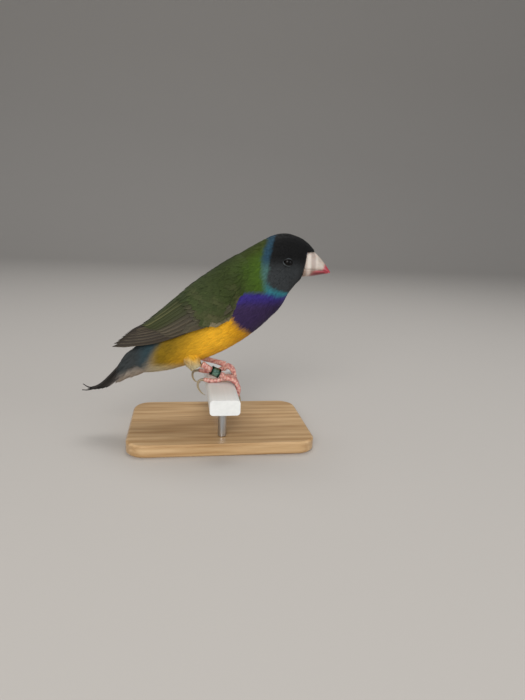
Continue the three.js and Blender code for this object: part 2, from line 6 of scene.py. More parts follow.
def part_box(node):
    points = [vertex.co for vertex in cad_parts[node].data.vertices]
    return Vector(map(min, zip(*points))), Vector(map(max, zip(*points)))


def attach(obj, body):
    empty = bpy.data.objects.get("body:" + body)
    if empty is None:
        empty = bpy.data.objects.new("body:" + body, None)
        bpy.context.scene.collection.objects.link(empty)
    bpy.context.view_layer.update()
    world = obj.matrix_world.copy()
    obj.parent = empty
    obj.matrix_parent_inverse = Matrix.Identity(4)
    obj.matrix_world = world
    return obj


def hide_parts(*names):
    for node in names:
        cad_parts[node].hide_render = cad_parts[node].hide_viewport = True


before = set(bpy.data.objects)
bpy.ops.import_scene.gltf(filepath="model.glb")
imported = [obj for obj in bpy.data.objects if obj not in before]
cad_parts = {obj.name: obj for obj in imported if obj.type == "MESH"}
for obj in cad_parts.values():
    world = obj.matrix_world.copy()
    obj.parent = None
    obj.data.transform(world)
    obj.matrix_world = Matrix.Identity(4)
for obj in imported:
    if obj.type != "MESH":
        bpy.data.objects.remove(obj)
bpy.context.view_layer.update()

# A black-headed gouldian finch, life size, on a cut length of white perch on a display stand.
# All shapes are worked out in millimetres, with Z from the top of the perch, as in the part's source.
rng = np.random.default_rng(7)
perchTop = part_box("perch")[1].z * 1000

# The body's sections from the bill to the tail's root: back line x, z, belly line x, z, half the width,
# and a power that makes a section fuller than an ellipse where it is below 1
bodySections = np.array([
    (44.7, 64.0, 41.0, 58.0, 3.4, 0.85),
    (40.4, 68.2, 37.4, 50.9, 6.1, 0.82),
    (35.8, 70.8, 35.2, 48.4, 7.5, 0.80),
    (29.8, 72.2, 33.0, 45.6, 8.5, 0.80),
    (23.8, 71.2, 31.4, 43.2, 9.3, 0.82),
    (17.4, 67.9, 28.9, 39.4, 10.7, 0.88),
    (10.4, 63.7, 24.8, 34.0, 12.4, 0.94),
    (2.8, 58.8, 18.9, 27.4, 13.8, 1.0),
    (-5.4, 53.0, 11.2, 21.2, 14.4, 1.0),
    (-13.0, 46.6, 2.6, 15.8, 13.9, 1.0),
    (-20.2, 39.6, -6.6, 11.4, 12.5, 1.0),
    (-26.8, 32.4, -15.6, 7.9, 10.5, 1.0),
    (-33.0, 25.0, -24.2, 5.3, 8.4, 1.0),
    (-38.4, 18.6, -32.0, 4.0, 6.6, 1.0),
    (-43.3, 14.2, -38.4, 3.5, 5.2, 1.0),
    (-46.9, 8.9, -43.6, 2.1, 4.0, 1.0),
    (-49.9, 3.6, -48.2, -0.1, 2.9, 1.0),
    (-53.4, -0.5, -52.8, -1.9, 1.5, 1.0),
])
# The folded wings' outer face, given in the same way
wingSections = np.array([
    (10.6, 63.0, 24.0, 36.0, 13.2, 1.0),
    (2.9, 58.8, 18.0, 29.5, 15.0, 1.0),
    (-5.5, 53.2, 10.0, 23.5, 15.8, 1.0),
    (-13.6, 47.2, 0.0, 20.0, 15.6, 1.0),
    (-21.3, 40.8, -10.0, 17.0, 14.2, 1.0),
    (-28.8, 34.0, -20.0, 14.5, 11.8, 1.0),
    (-35.6, 28.2, -29.5, 13.4, 9.0, 1.0),
    (-42.0, 24.4, -37.8, 13.4, 6.4, 1.0),
    (-47.6, 21.6, -44.6, 13.4, 4.4, 1.0),
    (-52.6, 18.4, -51.0, 13.9, 2.8, 1.0),
])


# Camera: the photograph's, fitted to the perch's edges and the bird's outline
camera = {"place": (-19.17, -234.52, 100.92), "right": (0.98653, -0.15736, 0.04474),
          "up": (-0.00567, 0.24043, 0.97065), "lens": 25.2}


def makeCamera():
    data = bpy.data.cameras.new("photoCamera")
    data.lens = camera["lens"]
    data.sensor_width = 36
    data.clip_start = 0.01
    viewer = bpy.data.objects.new("photoCamera", data)
    bpy.context.scene.collection.objects.link(viewer)
    right, up = Vector(camera["right"]), Vector(camera["up"])
    turned = Matrix((right, up, right.cross(up))).transposed().to_4x4()
    viewer.matrix_world = Matrix.Translation(Vector(camera["place"]) / 1000) @ turned
    bpy.context.scene.camera = viewer


makeCamera()
print("camera made")


# Curves and sections
# value = Catmull-Rom curve through the table's rows at a fractional row number
def along(table, place):
    last = len(table) - 1
    first = np.clip(np.floor(place).astype(int), 0, last - 1)
    f = (place - first)[..., None]
    a, b, c, d = [table[np.clip(first + k, 0, last)] for k in (-1, 0, 1, 2)]
    return b + 0.5 * f * (c - a + f * (2 * a - 5 * b + 4 * c - d + f * (3 * (b - c) + d - a)))


# point = middle + half depth * round(cos turn) along the section, half width * round(sin turn) across it,
# where round(x) keeps the sign of x and raises its size to the section's power
def onSections(sections, place, turn, lift=0.0):
    row = along(sections, place)
    backX, backZ, bellyX, bellyZ, half, power = np.moveaxis(row, -1, 0)
    deep = np.hypot(backX - bellyX, backZ - bellyZ) / 2
    cosine, sine = np.cos(turn), np.sin(turn)
    reach = (deep + lift) / deep * np.sign(cosine) * np.abs(cosine) ** power
    aside = (half + lift) * np.sign(sine) * np.abs(sine) ** power
    return np.stack([
        (backX + bellyX) / 2 + (backX - bellyX) / 2 * reach,
        aside,
        (backZ + bellyZ) / 2 + (backZ - bellyZ) / 2 * reach,
    ], -1)


def unit(vectors):
    return vectors / np.maximum(np.linalg.norm(vectors, axis=-1, keepdims=True), 1e-9)


# 0 below low, 1 above high, and 3t^2 - 2t^3 between them
def smoothStep(low, high, x):
    t = np.clip((x - low) / (high - low), 0, 1)
    return t * t * (3 - 2 * t)


# points over a sectioned surface at equal shares of each section's outline: 0 is the back line, 1 the belly line
# on the bird's left and -1 the same line on its right
def sectionGrid(sections, finer=16, rounds=256):
    places = np.linspace(0, len(sections) - 1, (len(sections) - 1) * finer + 1)
    turns = np.linspace(-np.pi, np.pi, 1441)
    dense = onSections(sections, places[:, None], turns[None, :])
    length = np.cumsum(np.linalg.norm(np.diff(dense, axis=1), axis=-1), axis=1)
    length = np.concatenate([np.zeros((len(places), 1)), length], 1) / length[:, -1:]
    turned = np.stack([np.interp(np.linspace(0, 1, rounds + 1), row, turns) for row in length])
    return onSections(sections, places[:, None], turned)


# A grid of points as a surface, read by place along it from 0 to last and by share round it from -1 to 1
class Surface:

    def __init__(self, points, last):
        self.points, self.last = points, last
        self.steps, self.rounds = points.shape[0] - 1, points.shape[1] - 1
        ahead = np.gradient(points, axis=0)
        ahead[0] = ahead[1]
        around = np.roll(points[:, :-1], -1, 1) - np.roll(points[:, :-1], 1, 1)
        around = np.concatenate([around, around[:, :1]], 1)
        normals = unit(np.cross(around, ahead))
        middle = self.steps // 2
        outward = points[middle] - points[middle, :-1].mean(0)
        self.normals = normals * np.sign((normals[middle] * outward).sum(-1).mean())

    # bilinear value of a table over the surface
    def read(self, table, place, share):
        row = np.clip(place / self.last, 0, 1) * self.steps
        column = ((share + 1) / 2 % 1) * self.rounds
        r = np.clip(row.astype(int), 0, self.steps - 1)
        c = np.clip(column.astype(int), 0, self.rounds - 1)
        f, g = (row - r)[..., None], (column - c)[..., None]
        near = table[r, c] * (1 - g) + table[r, c + 1] * g
        far = table[r + 1, c] * (1 - g) + table[r + 1, c + 1] * g
        return near * (1 - f) + far * f

    # point = surface + lift * normal
    def at(self, place, share, lift=0.0):
        return self.read(self.points, place, share) + np.asarray(lift)[..., None] * self.normalAt(place, share)

    def normalAt(self, place, share):
        return unit(self.read(self.normals, place, share))


body, wingFace = [Surface(sectionGrid(sections), len(sections) - 1) for sections in (bodySections, wingSections)]
print("surfaces worked out")


# Colours and markings
# linear value of an sRGB hex colour
def linearOf(hexColour):
    value = np.array([int(hexColour[i:i + 2], 16) for i in (1, 3, 5)]) / 255
    return np.where(value <= 0.04045, value / 12.92, ((value + 0.055) / 1.055) ** 2.4)


def linearTable(table):
    return {name: linearOf(value) for name, value in table.items()}


tints = linearTable({
    "hood": "#0a0a0b", "litCheek": "#323537", "bandUpper": "#234254", "bandMiddle": "#426560", "bandLower": "#2d7580",
    "napeTop": "#35400a", "nape": "#3d5713", "back": "#2f3a14", "wing": "#3a4424", "wingEdge": "#776f57",
    "mottle": "#5c573d", "rump": "#2f6678", "purple": "#33277a", "purpleLow": "#34254a", "yellow": "#eeb32a",
    "yellowDeep": "#cf9412", "yellowRearWingShade": "#80650f", "cream": "#c3b896", "down": "#bfb18c",
    "covertBlue": "#2b3f46", "covertGrey": "#35393a", "under": "#9d9286",
})
headMiddle = np.array([33.0, 58.0])  # the hood's and the band's edges are given round this point of the side view
hoodEdge = {"angle": (100, 123, 155, 192, 210, 225, 243, 270, 300),
            "radius": (24, 15.9, 12.6, 13.0, 15.8, 15.5, 13.9, 13.3, 14)}
bandEdge = {"angle": (100, 140, 163, 183, 207, 224, 241, 266, 300),
            "radius": (26, 16.6, 16.1, 16.1, 17.3, 18.7, 16.8, 14.3, 15)}
purpleLine = {"x": (-14, 3.6, 7.6, 14.6, 24), "z": (41, 32.7, 28.2, 23.8, 19)}  # border with the yellow
greenLine = {"x": (-14, 5.9, 9.8, 17.7, 30), "z": (41, 44.2, 44.9, 44.9, 44.9)}  # border with the green above
blueLine = {"z": (-10, 8.4, 15.2, 22.3, 40), "x": (-38.5, -35.6, -32.2, -27.6, -20)}  # border with the blue coverts
underLine = {"x": (-60, -53.5, -46.5, -40, -35, -30), "z": (-6.3, -1.2, 3.9, 7.0, 5.8, 4.4)}  # above the pale vent
creamLine = {"x": (-35, -20, -8, 4, 16), "z": (7.4, 7.6, 9.4, 14.4, 21.2)}  # where the belly starts to pale


def mix(a, b, share):
    return a + (b - a) * share[..., None]


# a smooth wave of about +-1 over the surface, as a sum of sines of different lengths
def waver(points, size):
    x, y, z = np.moveaxis(points / size, -1, 0)
    return (np.sin(1.9 * x + 1.3 * z + 0.7) + np.sin(2.7 * z - 1.1 * y + 2.0) + np.sin(2.3 * y + 1.7 * x)) / 3


# the nape's yellow green, olive along the back line, darkening to the mantle's and the wing's olive
def greens(points):
    x, y, z = np.moveaxis(points, -1, 0)
    behind = np.hypot(x - headMiddle[0], z - headMiddle[1]) - 17
    high = smoothStep(11, 5, np.abs(y))
    colour = mix(mix(tints["nape"], tints["napeTop"], high), tints["back"], smoothStep(0, 15, behind))
    return mix(colour, tints["wing"], smoothStep(12, 32, behind))


# colour = the regions of the side view laid over one another, each with a soft edge of under a millimetre
def markings(points):
    x, y, z = np.moveaxis(points, -1, 0)
    soft = 0.2 * waver(points, 1.3)
    angle = np.degrees(np.arctan2(z - headMiddle[1], x - headMiddle[0])) % 360
    radius = np.hypot(x - headMiddle[0], z - headMiddle[1]) + soft
    front = (angle < 100) | (angle > 300)
    hoodGap = radius - np.interp(angle, hoodEdge["angle"], hoodEdge["radius"])
    bandGap = radius - np.interp(angle, bandEdge["angle"], bandEdge["radius"])
    hood = np.where(front, 1.0, smoothStep(0.35, -0.35, hoodGap))
    band = np.where(front, 1.0, smoothStep(0.7, -0.7, bandGap))
    colour = mix(greens(points), tints["rump"], smoothStep(-26, -31, x))
    purpleGap = z - np.interp(x, purpleLine["x"], purpleLine["z"]) + soft
    greenGap = z - np.interp(x, greenLine["x"], greenLine["z"]) + soft
    purple = mix(tints["purpleLow"], tints["purple"], smoothStep(-7, -1, greenGap))
    yellow = mix(tints["yellow"], tints["yellowDeep"], smoothStep(-6, 8, x + 0.5 * (z - 30)))
    # the yellow darker towards the rear: partly the feathers' own deeper yellow, partly painted shade under the
    # folded wing
    yellow = mix(yellow, tints["yellowRearWingShade"], smoothStep(-8, -28, x - 0.5 * (z - 15)))
    paling = smoothStep(3.4, -2.6, z - np.interp(x, creamLine["x"], creamLine["z"]))
    yellow = mix(yellow, tints["cream"], paling * smoothStep(4, -10, x))
    yellow = mix(yellow, tints["under"], smoothStep(-30, -38, x))
    blueGap = x - np.interp(z, blueLine["z"], blueLine["x"]) + soft
    blue = mix(tints["covertBlue"], tints["covertGrey"], smoothStep(-34, -42, x))
    underGap = z - np.interp(x, underLine["x"], underLine["z"]) + soft
    yellow = mix(yellow, blue, smoothStep(2.2, -2.2, blueGap) * smoothStep(-1.8, 1.8, underGap))
    under = mix(yellow, purple, smoothStep(-0.5, 0.5, purpleGap))
    colour = mix(under, colour, smoothStep(-0.6, 0.6, greenGap))
    bandTint = mix(tints["bandLower"], tints["bandMiddle"], smoothStep(45, 51, z))
    bandTint = mix(bandTint, tints["bandUpper"], smoothStep(55, 61, z))
    colour = mix(colour, bandTint, band)
    # painted light: the black hood made grey low on the cheek, where the light from the front falls
    litCheek = smoothStep(62, 54, z) * smoothStep(43, 34, x)
    return mix(colour, mix(tints["hood"], tints["litCheek"], litCheek), hood)


# Meshes
# vertices in millimetres from the perch's top, and a list of index arrays, one row a face
def meshOf(name, points, faces, flat=None):
    mesh = bpy.data.meshes.new(name)
    corners = np.concatenate([f.ravel() for f in faces]).astype(np.int32)
    sizes = np.concatenate([np.full(len(f), f.shape[1]) for f in faces])
    starts = np.concatenate([[0], np.cumsum(sizes)[:-1]]).astype(np.int32)
    mesh.vertices.add(len(points))
    mesh.vertices.foreach_set("co", ((points + [0, 0, perchTop]) / 1000).astype(np.float32).ravel())
    mesh.loops.add(len(corners))
    mesh.loops.foreach_set("vertex_index", corners)
    mesh.polygons.add(len(sizes))
    mesh.polygons.foreach_set("loop_start", starts)
    mesh.update(calc_edges=True)
    mesh.shade_smooth()
    if flat is not None:
        mesh.attributes.new("sharp_face", "BOOLEAN", "FACE").data.foreach_set("value", flat)
    return mesh


def paint(mesh, colours):
    layer = mesh.color_attributes.new("tint", "FLOAT_COLOR", "POINT")
    solid = np.concatenate([colours, np.ones((len(colours), 1))], 1)
    layer.data.foreach_set("color", solid.astype(np.float32).ravel())


def giveMap(mesh, name, perPoint):
    corners = np.zeros(len(mesh.loops), np.int32)
    mesh.loops.foreach_get("vertex_index", corners)
    layer = mesh.uv_layers.new(name=name)
    layer.uv.foreach_set("vector", perPoint[corners].astype(np.float32).ravel())


def place(name, mesh, material, slotName, *nodes):
    piece = bpy.data.objects.new(name, mesh)
    bpy.context.scene.collection.objects.link(piece)
    mesh.materials.append(material)
    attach(piece, "root")
    if nodes:
        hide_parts(*nodes)
    return piece


def paintedPiece(name, points, faces, colours, material, *labels):
    mesh = meshOf(name, points, faces)
    paint(mesh, colours)
    return place(name, mesh, material, *labels)


# quads over a grid, turned so that rows times columns points out
def gridFaces(rows, columns, closed=False):
    index = np.arange(rows * columns).reshape(rows, columns)
    nextColumn = np.roll(index, -1, 1) if closed else index[:, 1:]
    here = index if closed else index[:, :-1]
    return np.stack([here[:-1], here[1:], nextColumn[1:], nextColumn[:-1]], -1).reshape(-1, 4)


# quads over a grid that closes on itself both ways
def ringFaces(rows, columns):
    index = np.arange(rows * columns).reshape(rows, columns)
    nextRow = np.roll(index, -1, 0)
    return np.stack([index, nextRow, np.roll(nextRow, -1, 1), np.roll(index, -1, 1)], -1).reshape(-1, 4)


# a closed mesh from rings of points, with a fan over each end
def closedTube(grid, flip=False):
    rows, columns = grid.shape[:2]
    faces = gridFaces(rows, columns, closed=True)
    ring = np.arange(columns)
    following = np.roll(ring, -1)
    hubs = rows * columns + np.arange(2)
    start = np.stack([ring, following, np.full(columns, hubs[0])], -1)
    end = np.stack([following, ring, np.full(columns, 0)], -1) + (rows - 1) * columns
    end[:, 2] = hubs[1]
    points = np.concatenate([grid.reshape(-1, 3), grid[[0, -1]].mean(1)])
    faces = [faces, start, end]
    return points, [f[:, ::-1] for f in faces] if flip else faces


# one list of points and faces from several
def together(parts):
    points, faces, count = [], [], 0
    for p, fs in parts:
        points.append(p)
        faces.extend(f + count for f in fs)
        count += len(p)
    return np.concatenate(points), faces


# points at equal lengths along a smooth curve through the path's points
def evenPoints(path, share, samples=400):
    path = np.asarray(path, float)
    dense = along(path, np.linspace(0, len(path) - 1, samples))
    length = np.concatenate([[0], np.cumsum(np.linalg.norm(np.diff(dense, axis=0), axis=1))])
    return np.stack([np.interp(share * length[-1], length, dense[:, k]) for k in range(dense.shape[1])], -1)


# ring = path point + radius * (cos a * side + sin a * up), with side level and up square to the path;
# shape(share, angle) is added to the radius
def tube(path, radii, rings, sides, shape=None):
    share = np.linspace(0, 1, rings)
    radii = np.asarray(radii, float)[:, None]
    middle = evenPoints(path, share)
    way = unit(np.gradient(middle, axis=0))
    crosswise = abs(way[:, 1]).max() > 0.9  # a path along the perch has another level side
    side = unit(np.cross(way, [0.0, 0.03, 1.0] if crosswise else np.cross([0.0, 1.0, 0.0], way)))
    up = np.cross(side, way)
    radius = along(radii, share * (len(radii) - 1))
    angle = np.linspace(0, 2 * np.pi, sides, endpoint=False)
    if shape is not None:
        radius = radius + shape(share[:, None], angle[None, :])
    ring = np.cos(angle)[None, :, None] * side[:, None] + np.sin(angle)[None, :, None] * up[:, None]
    return middle[:, None] + radius[..., None] * ring


# Materials
# one node with its settings; links are (output socket, name of this node's input)
def addNode(tree, kind, links=(), **settings):
    node = tree.nodes.new(kind)
    for key, value in settings.items():
        if hasattr(node, key):
            setattr(node, key, value)
        else:
            node.inputs[key.replace("_", " ")].default_value = value
    for source, target in links:
        tree.links.new(source, node.inputs[target])
    return node


def newMaterial(name, **settings):
    material = bpy.data.materials.new(name)
    material.use_nodes = True
    shader = material.node_tree.nodes["Principled BSDF"]
    for key, value in settings.items():
        shader.inputs[key.replace("_", " ")].default_value = value
    return material, material.node_tree, shader


# relief and an uneven gloss from one pattern: bump is (strength, distance in metres), gloss the roughness's range
def addRelief(tree, shader, pattern, bump=None, gloss=None):
    if bump:
        relief = addNode(tree, "ShaderNodeBump", [(pattern, "Height")], Strength=bump[0], Distance=bump[1])
        tree.links.new(relief.outputs["Normal"], shader.inputs["Normal"])
    if gloss:
        rough = addNode(tree, "ShaderNodeMapRange", [(pattern, "Value")], To_Min=gloss[0], To_Max=gloss[1])
        tree.links.new(rough.outputs[0], shader.inputs["Roughness"])


# the piece's own tint made darker and lighter, between low and high, where the pattern runs over its span
def tintBy(tree, shader, pattern, low, high, span=(0.0, 1.0)):
    tint = addNode(tree, "ShaderNodeAttribute", attribute_name="tint")
    value = addNode(tree, "ShaderNodeMapRange", [(pattern, "Value")], From_Min=span[0], From_Max=span[1],
                    To_Min=low, To_Max=high)
    hue = addNode(tree, "ShaderNodeHueSaturation", [(value.outputs[0], "Value"), (tint.outputs["Color"], "Color")])
    tree.links.new(hue.outputs["Color"], shader.inputs["Base Color"])


# noise on Object coordinates, its scale in waves to the metre; a scale of three drawn out by a Mapping node
def noiseOver(tree, scale, detail, **mapping):
    place = addNode(tree, "ShaderNodeTexCoord").outputs["Object"]
    if mapping:
        place = addNode(tree, "ShaderNodeMapping", [(place, "Vector")], **mapping).outputs["Vector"]
    return addNode(tree, "ShaderNodeTexNoise", [(place, "Vector")], Scale=scale, Detail=detail).outputs["Fac"]


# a material in the piece's own tint, mottled by fine noise
def mottledMaterial(name, scale, detail, low, high, span=(0.0, 1.0), bump=None, gloss=None, **settings):
    material, tree, shader = newMaterial(name, **settings)
    noise = noiseOver(tree, scale, detail)
    tintBy(tree, shader, noise, low, high, span)
    addRelief(tree, shader, noise, bump, gloss)
    return material


# a material between two colours along a grain, which is noise drawn out by the scales of the three axes
def grainMaterial(name, scales, detail, dark, light, ends=(0.0, 1.0), bump=None, gloss=None, **settings):
    material, tree, shader = newMaterial(name, **settings)
    noise = noiseOver(tree, 1.0, detail, Scale=scales)
    ramp = addNode(tree, "ShaderNodeValToRGB", [(noise, "Fac")])
    for element, end, colour in zip(ramp.color_ramp.elements, ends, (dark, light)):
        element.position, element.color = end, (*linearOf(colour), 1)
    tree.links.new(ramp.outputs["Color"], shader.inputs["Base Color"])
    addRelief(tree, shader, noise, bump, gloss)
    return material


# Keratin barbs: a soft sheen with fine slanting lines from the shaft, spaced wider than the real 0.05 mm so
# that they show, and a tone that varies from barb to barb and in streaks along the body.
def featherMaterial(name, barbs, fleck, **settings):
    material, tree, shader = newMaterial(name, Sheen_Roughness=0.4, **settings)
    vane = addNode(tree, "ShaderNodeUVMap", uv_map="vane")  # across and along each feather, in centimetres
    lines = addNode(tree, "ShaderNodeTexWave", [(vane.outputs["UV"], "Vector")], wave_type="BANDS",
                    bands_direction="DIAGONAL", Scale=barbs, Distortion=1.2, Detail=2.0, Detail_Scale=2.0)
    streaks = noiseOver(tree, 1.0, 3.0, vector_type="TEXTURE", Rotation=(0.0, -0.52, 0.0),
                        Scale=(0.008, 0.0006, 0.0006))  # 8 mm long and 0.6 mm wide
    tone = addNode(tree, "ShaderNodeMath", [(lines.outputs["Fac"], 0), (streaks, 1)], operation="ADD")
    tintBy(tree, shader, tone.outputs[0], 1 - fleck, 1 + fleck, (0.4, 1.6))
    addRelief(tree, shader, lines.outputs["Fac"], (0.35, 0.00006))
    return material


bodyFeather = featherMaterial("softBodyFeather", 26.0, 0.2, Roughness=0.7, Sheen_Weight=0.04, Specular_IOR_Level=0.18)
flightFeather = featherMaterial("stiffFlightFeather", 20.0, 0.16, Roughness=0.55, Sheen_Weight=0.03,
                                Specular_IOR_Level=0.25)
# Bare skin and down under the feathers: matt and finely pitted, in the coat's own markings
downySkin = mottledMaterial("downySkin", 1400.0, 2.0, 0.55, 0.95, bump=(0.5, 0.0002), Roughness=0.85)


# The skin
faceTop, faceLow = (39.5, 64.1), (37.7, 51.5)  # the feathers' edge beside the bill, x and z
skin = {"depth": 0.9, "rings": 170, "sides": 96}
legs = {
    "right": {"foot": -7, "shank": [(-9.3, 9.6), (-5.9, 7.55), (-2.5, 5.55), (0.9, 3.8)], "pad": (1.5, 2.8, 1.7),
              "toes": [(1.2, 3.0), (4.2, 2.9), (6.7, 1.5), (8.0, -1.0)],
              "hind": [(1.4, 2.5), (-2.0, 1.35), (-5.6, 1.3), (-8.4, 1.9)],
              "hindClaw": [(-8.0, 1.9), (-10.6, 1.2), (-11.2, -1.4), (-9.9, -4.2), (-7.6, -6.2)],
              "spreads": [(3.2, 0.8), (-0.6, 1.0), (-4.2, 0.85)]},
    "left": {"foot": 9, "shank": [(-9.8, 9.3), (-5.4, 7.6), (-0.8, 6.4), (3.2, 5.1)], "pad": (3.0, 3.5, 1.9),
             "toes": [(3.0, 4.2), (5.4, 3.9), (7.3, 2.1), (8.0, -0.4)],
             "hind": [(2.6, 3.0), (-1.5, 1.5), (-6.0, 1.3), (-10.2, 1.9)],
             "hindClaw": [(-9.8, 1.9), (-12.8, 1.2), (-13.4, -1.2), (-12.0, -3.9), (-9.2, -4.8)],
             "spreads": [(-3.2, 0.8), (0.5, 1.0), (4.0, 0.85)]},
}


def thighPath(leg):
    heelX, heelZ = leg["shank"][0]
    foot = leg["foot"]
    return np.array([(-15.8, foot * 0.68, 16.5), (-14.2, foot * 0.84, 11.6), (heelX - 2.6, foot, heelZ - 2.0)])


# surface lowered by the coat's depth and the two thighs as tapering tubes: three closed shells in one mesh
def makeSkin():
    places = np.linspace(0.12, 16.9, skin["rings"])
    shares = np.linspace(-1, 1, skin["sides"], endpoint=False)
    depth = skin["depth"] * (0.4 + 0.6 * smoothStep(0, 4, places))[:, None]
    trunk = body.at(places[:, None] + 0 * shares, shares[None, :] + 0 * places[:, None], -depth + 0 * shares)
    face = np.interp(trunk[..., 2], (faceLow[1], faceTop[1]), (faceLow[0], faceTop[0])) - 0.35
    trunk[..., 0] = np.where(trunk[..., 2] < faceTop[1], np.minimum(trunk[..., 0], face), trunk[..., 0])
    parts = [closedTube(trunk)] + [closedTube(tube(thighPath(leg), [3.1, 3.1, 1.5], 20, 24)) for leg in legs.values()]
    points, faces = together(parts)
    colours = markings(points)
    colours[len(parts[0][0]):] = tints["down"]
    return paintedPiece("skin", points, faces, colours, downySkin, "breast_feathers",
                        "head", "neck", "torso", "rump", "thigh_right", "thigh_left")


makeSkin()
print("skin made")


# Feathers
# A feather's grid of (along, across) shares. The end is rounded by tip * across^2. Every second column of the
# last row stands back at 1 - parting, so that the barbs beyond it hang in fine points. The underside joins the
# two edges.
def vaneTemplate(rows, columns, parting, tip):
    s = np.append(np.linspace(0, 1 - parting, rows - 1), 1.0)
    u = np.linspace(-1, 1, columns)
    alongShare = s[:, None] * (1 - tip * u[None, :] ** 2 * s[:, None] ** 2)
    alongShare[-1] -= 0.3 * parting * np.abs(np.sin(3.7 * np.arange(columns) + 1))
    alongShare[-1, 1::2] = alongShare[-2, 1::2] + 0.12 * parting
    acrossShare = u[None, :] + 0 * s[:, None]
    index = np.arange(rows * columns).reshape(rows, columns)
    top = gridFaces(rows, columns)
    low = index[:-1]
    under = np.stack([low[:-1, 0], low[:-1, -1], low[1:, -1], low[1:, 0]], -1)
    middle = columns // 2
    apex = np.where(np.arange(columns - 1) < middle, index[-2, 0], index[-2, -1])
    fringe = np.stack([apex, index[-1, 1:], index[-1, :-1]], -1)
    centre = np.array([[index[-2, 0], index[-2, -1], index[-1, middle]]])
    root = np.stack([np.full(columns - 2, index[0, 0]), index[0, 1:-1], index[0, 2:]], -1)
    return alongShare, acrossShare, top, under, np.concatenate([fringe, centre, root])


# point = surface at root + d, with d = along * lie + across * side written as steps in place and share by the
# inverse of the surface's own metric at the root; height rises from the first lift to the second as
# 1 - (1 - along)^2.2, less camber * across^2, and the barbs' ends stand a little apart
def layVanes(surface, root, heading, length, width, lift, template, camber, profile):
    alongShare, acrossShare = template[:2]
    step = 0.02
    rootPlace, rootShare = root
    here = surface.at(rootPlace, rootShare)
    byPlace = (surface.at(rootPlace + step, rootShare) - surface.at(rootPlace - step, rootShare)) / (2 * step)
    byShare = (surface.at(rootPlace, rootShare + step) - surface.at(rootPlace, rootShare - step)) / (2 * step)
    normal = surface.normalAt(rootPlace, rootShare)
    forward = unit(byPlace - (byPlace * normal).sum(-1, keepdims=True) * normal)
    side = np.cross(normal, forward)
    lie = np.cos(heading)[:, None] * forward + np.sin(heading)[:, None] * side
    cross = np.cross(normal, lie)
    a, b, c = (byPlace ** 2).sum(-1), (byPlace * byShare).sum(-1), (byShare ** 2).sum(-1)
    determinant = np.maximum(a * c - b * b, 1e-6)

    def steps(direction):
        p, q = (direction * byPlace).sum(-1), (direction * byShare).sum(-1)
        return (c * p - b * q) / determinant, (a * q - b * p) / determinant

    liePlace, lieShare = steps(lie)
    crossPlace, crossShare = steps(cross)
    run = alongShare[None] * length[:, None, None]
    half = np.interp(alongShare, *profile)[None] * width[:, None, None] / 2
    over = acrossShare[None] * half
    places = rootPlace[:, None, None] + run * liePlace[:, None, None] + over * crossPlace[:, None, None]
    shares = rootShare[:, None, None] + run * lieShare[:, None, None] + over * crossShare[:, None, None]
    rise = 1 - (1 - np.clip(alongShare, 0, 1)) ** 2.2
    height = lift[0][:, None, None] + (lift[1] - lift[0])[:, None, None] * rise[None]
    loose = rng.normal(0, 0.035, (len(rootPlace), 1, alongShare.shape[1])) * smoothStep(0.6, 1.0, alongShare)[None]
    height = height + loose - camber * (acrossShare[None] ** 2) * np.sin(np.pi * alongShare * 0.7 + 0.5)[None]
    points = surface.at(places, shares, height)
    vaneMap = np.stack([np.abs(over) / 10, run / 10 + 0 * over], -1)
    return here, points, vaneMap, surface.normalAt(places, shares)


# normal = 0.7 * the skin's + 0.3 * the vane's own on the upper faces, which come first, so that overlapping
# vanes shade as one soft coat
def softenShading(mesh, normals, upperCorners):
    own = np.zeros(len(mesh.loops) * 3, np.float32)
    mesh.corner_normals.foreach_get("vector", own)
    own = own.reshape(-1, 3)
    corners = np.zeros(len(mesh.loops), np.int32)
    mesh.loops.foreach_get("vertex_index", corners)
    corners = corners[:upperCorners]
    own[:upperCorners] = unit(0.7 * normals.reshape(-1, 3)[corners] + 0.3 * own[:upperCorners])
    mesh.normals_split_custom_set(own)


# a coat piece of many vanes as one mesh, with a small patch of the skin's unwrap for each vane
def featherPiece(name, surface, root, heading, length, width, lift, template, colours, material, slotName,
                 nodes=(), camber=0.07, profile=((0, 0.35, 0.75, 1), (0.5, 1.0, 0.95, 0.75))):
    here, points, vaneMap, normals = layVanes(surface, root, heading, length, width, lift, template, camber, profile)
    count, rows, columns = points.shape[:3]
    each = rows * columns
    offsets = (np.arange(count) * each)[:, None, None]
    faces = [(template[k][None] + offsets).reshape(-1, template[k].shape[1]) for k in (2, 3, 4)]
    flat = np.concatenate([np.full(len(f), k > 0) for k, f in enumerate(faces)])
    mesh = meshOf(name, points.reshape(-1, 3), faces, flat)
    softenShading(mesh, normals, faces[0].size)
    tint = colours(here, points)
    paint(mesh, tint.reshape(-1, 3))
    giveMap(mesh, "vane", vaneMap.reshape(-1, 2))
    patch = np.stack([root[0] / surface.last, (root[1] % 2) / 2], -1)[:, None, None]
    local = np.stack(np.broadcast_arrays(template[0], template[1] / 2 + 0.5), -1)[None] * 0.003
    giveMap(mesh, "OFBake", (patch + local).reshape(-1, 2))
    return place(name, mesh, material, slotName, *nodes)


